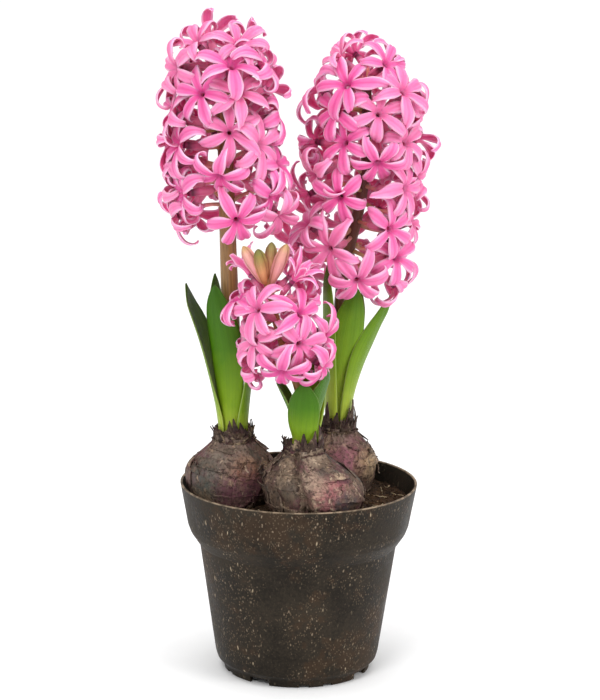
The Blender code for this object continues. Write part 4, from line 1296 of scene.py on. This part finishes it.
for number, (side, raceme) in enumerate(RACEMES.items()):
    tiers, first_z, spacing, mouth_radius, first_turn, droop, lift, crown = raceme
    draw = random.Random(520 + number)
    for tier in range(tiers):
        share = tier / (tiers - 1)
        pitch = droop + (lift - droop) * share
        narrowing = 1.0 - 0.10 * max(0.0, share - 0.5) * 2
        reach = mouth_radius * MM * narrowing
        mouth_z = (first_z + tier * spacing) * MM
        foot_z = mouth_z - (reach - 4.0 * MM) * math.tan(math.radians(pitch))
        node = "%s_florets_tier_%d" % (side, tier + 1)
        for index in range(TIER_FLORETS):
            azimuth = first_turn + tier * TIER_TURN + index * 360.0 / TIER_FLORETS
            tight = draw.random() < 0.3
            loose = (draw.uniform(-2.5, 2.5), draw.uniform(-9, 9), draw.uniform(-38, 38),
                     draw.uniform(-42, 38), draw.uniform(245, 310) if tight else
                     draw.uniform(165, 240), 98 if tight else draw.uniform(78, 100))
            posed = POSED.get((side, tier + 1, index + 1), loose)
            build_floret("%s_floret_%d_%d" % (side, tier + 1, index + 1), side,
                         foot_z + posed[0] * MM, azimuth + posed[1], pitch + draw.uniform(-2, 2),
                         reach, draw,
                         size=draw.uniform(0.95, 1.07) * (0.94 if side == "centre" else 1.0),
                         curl=posed[4], opening=draw.uniform(10, 24), spread=posed[5],
                         replaced=[node] if index == 0 else (), swing=(posed[2], posed[3]))
    for index in range(crown):
        top = STALK_RINGS[side][-1][0].z
        build_floret("%s_floret_crown_%d" % (side, index + 1), side, top - 8 * MM,
                     first_turn + 20.0 + index * 360.0 / crown + draw.uniform(-8, 8),
                     56.0 + draw.uniform(-5, 5), 14.0 * MM, draw, size=draw.uniform(0.85, 0.95),
                     curl=draw.uniform(130, 190), opening=draw.uniform(10, 20),
                     spread=draw.uniform(62, 86),
                     replaced=[side + "_florets_crown"] if index == 0 else (),
                     swing=(draw.uniform(-20, 20), draw.uniform(-42, -8)))


# ------------------------------------------------------------------ buds
# The centre plant is the last to open: four buds are still shut at its top, ribbed, peach to
# pink with green tips, and a few florets below them have only parted their petals.
bud_material, tree, shader = new_material("bud_skin", roughness=0.45, subsurface_weight=0.12,
                                          subsurface_scale=0.002)
shader.inputs["Subsurface Radius"].default_value = (1.0, 0.5, 0.4)
along, across, tone = field(tree, "along"), field(tree, "across"), field(tree, "tone")
peach = ramp(tree, along, ((0.0, (0.70, 0.30, 0.11)), (0.32, (0.68, 0.31, 0.14)),
                           (0.62, (0.42, 0.24, 0.08)), (0.85, (0.27, 0.23, 0.045)),
                           (1.0, (0.14, 0.16, 0.03))))
rosy = ramp(tree, along, ((0.0, (0.80, 0.36, 0.30)), (0.4, (0.86, 0.36, 0.42)),
                          (0.8, (0.85, 0.42, 0.36)), (1.0, (0.62, 0.42, 0.14))))
color = mix(tree, field(tree, "rosy"), peach, rosy)
streaks = fine_lines(tree, across, along, tone, 12.0, 3.0)
color = stronger(tree, streaks, 0.4, color, (0.82, 0.62, 0.55))
# The darker colour in the grooves between the three tepals is painted shade in the creases.
groove_shade_mask = ease(tree, across, -0.55, -0.92)
finish(tree, shader, stronger(tree, groove_shade_mask, 0.65, color, (0.50, 0.34, 0.26)))
bump(tree, shader, streaks, 0.5, 0.0004)

# name: azimuth, tilt from upright, length in mm, share of rosy pink
BUDS = {"bud_left": (-95, 30, 21.0, 0.9), "bud_front": (-48, 15, 18.5, 0.0),
        "bud_back": (160, 9, 20.0, 0.1), "bud_right": (76, 21, 21.5, 0.8)}
BUD_PROFILE = ((0.0, 0.25), (0.10, 0.55), (0.36, 0.90), (0.62, 1.0), (0.84, 0.80), (0.95, 0.45),
               (1.0, 0.05))
for number, (name, (azimuth, tilt, length, rosy_share)) in enumerate(BUDS.items()):
    top, radius = stalk_at("centre", STALK_RINGS["centre"][-1][0].z - 2.5 * MM)
    lean = math.radians(tilt)
    aim = direction(azimuth) * math.sin(lean) + Vector((0.0, 0.0, math.cos(lean)))
    foot = top + direction(azimuth) * radius
    rows, columns = 26, 36
    side_way = aim.orthogonal().normalized()
    other = aim.cross(side_way)
    points, along, across = [], [], []
    for row in range(rows):
        t = row / (rows - 1)
        wide = float(np.interp(t, [p[0] for p in BUD_PROFILE], [p[1] for p in BUD_PROFILE]))
        for column in range(columns):
            a = 2 * math.pi * column / columns
            lobe = math.cos(3 * a + 1.4 * t)
            seam = smooth((-lobe - 0.62) / 0.38) * smooth(t * 4)
            spread = 3.3 * MM * wide * (1.0 + 0.06 * lobe - 0.24 * seam)
            points.append(foot + aim * (t * length * MM)
                          + (side_way * math.cos(a) + other * math.sin(a)) * spread)
            along.append(t)
            across.append(lobe)
    fields = {"along": along, "across": across, "tone": number * 2.3, "rosy": rosy_share}
    build_piece("centre_" + name + "_skin", [(points, tube_faces(rows, columns), fields, 0)],
                [bud_material], ["centre_" + name])

draw = random.Random(77)
for index, (azimuth, pitch, height, curl) in enumerate(((66, 46, 206, 58), (128, 36, 209, 75),
                                                         (-122, 50, 205, 42), (-165, 40, 207, 80))):
    build_floret("centre_floret_opening_%d" % (index + 1), "centre", (height - 8) * MM, azimuth,
                 pitch, 12.5 * MM, draw, size=0.70, curl=curl, opening=2.0, spread=curl * 0.45,
                 swing=(draw.uniform(-6, 6), 4.0))
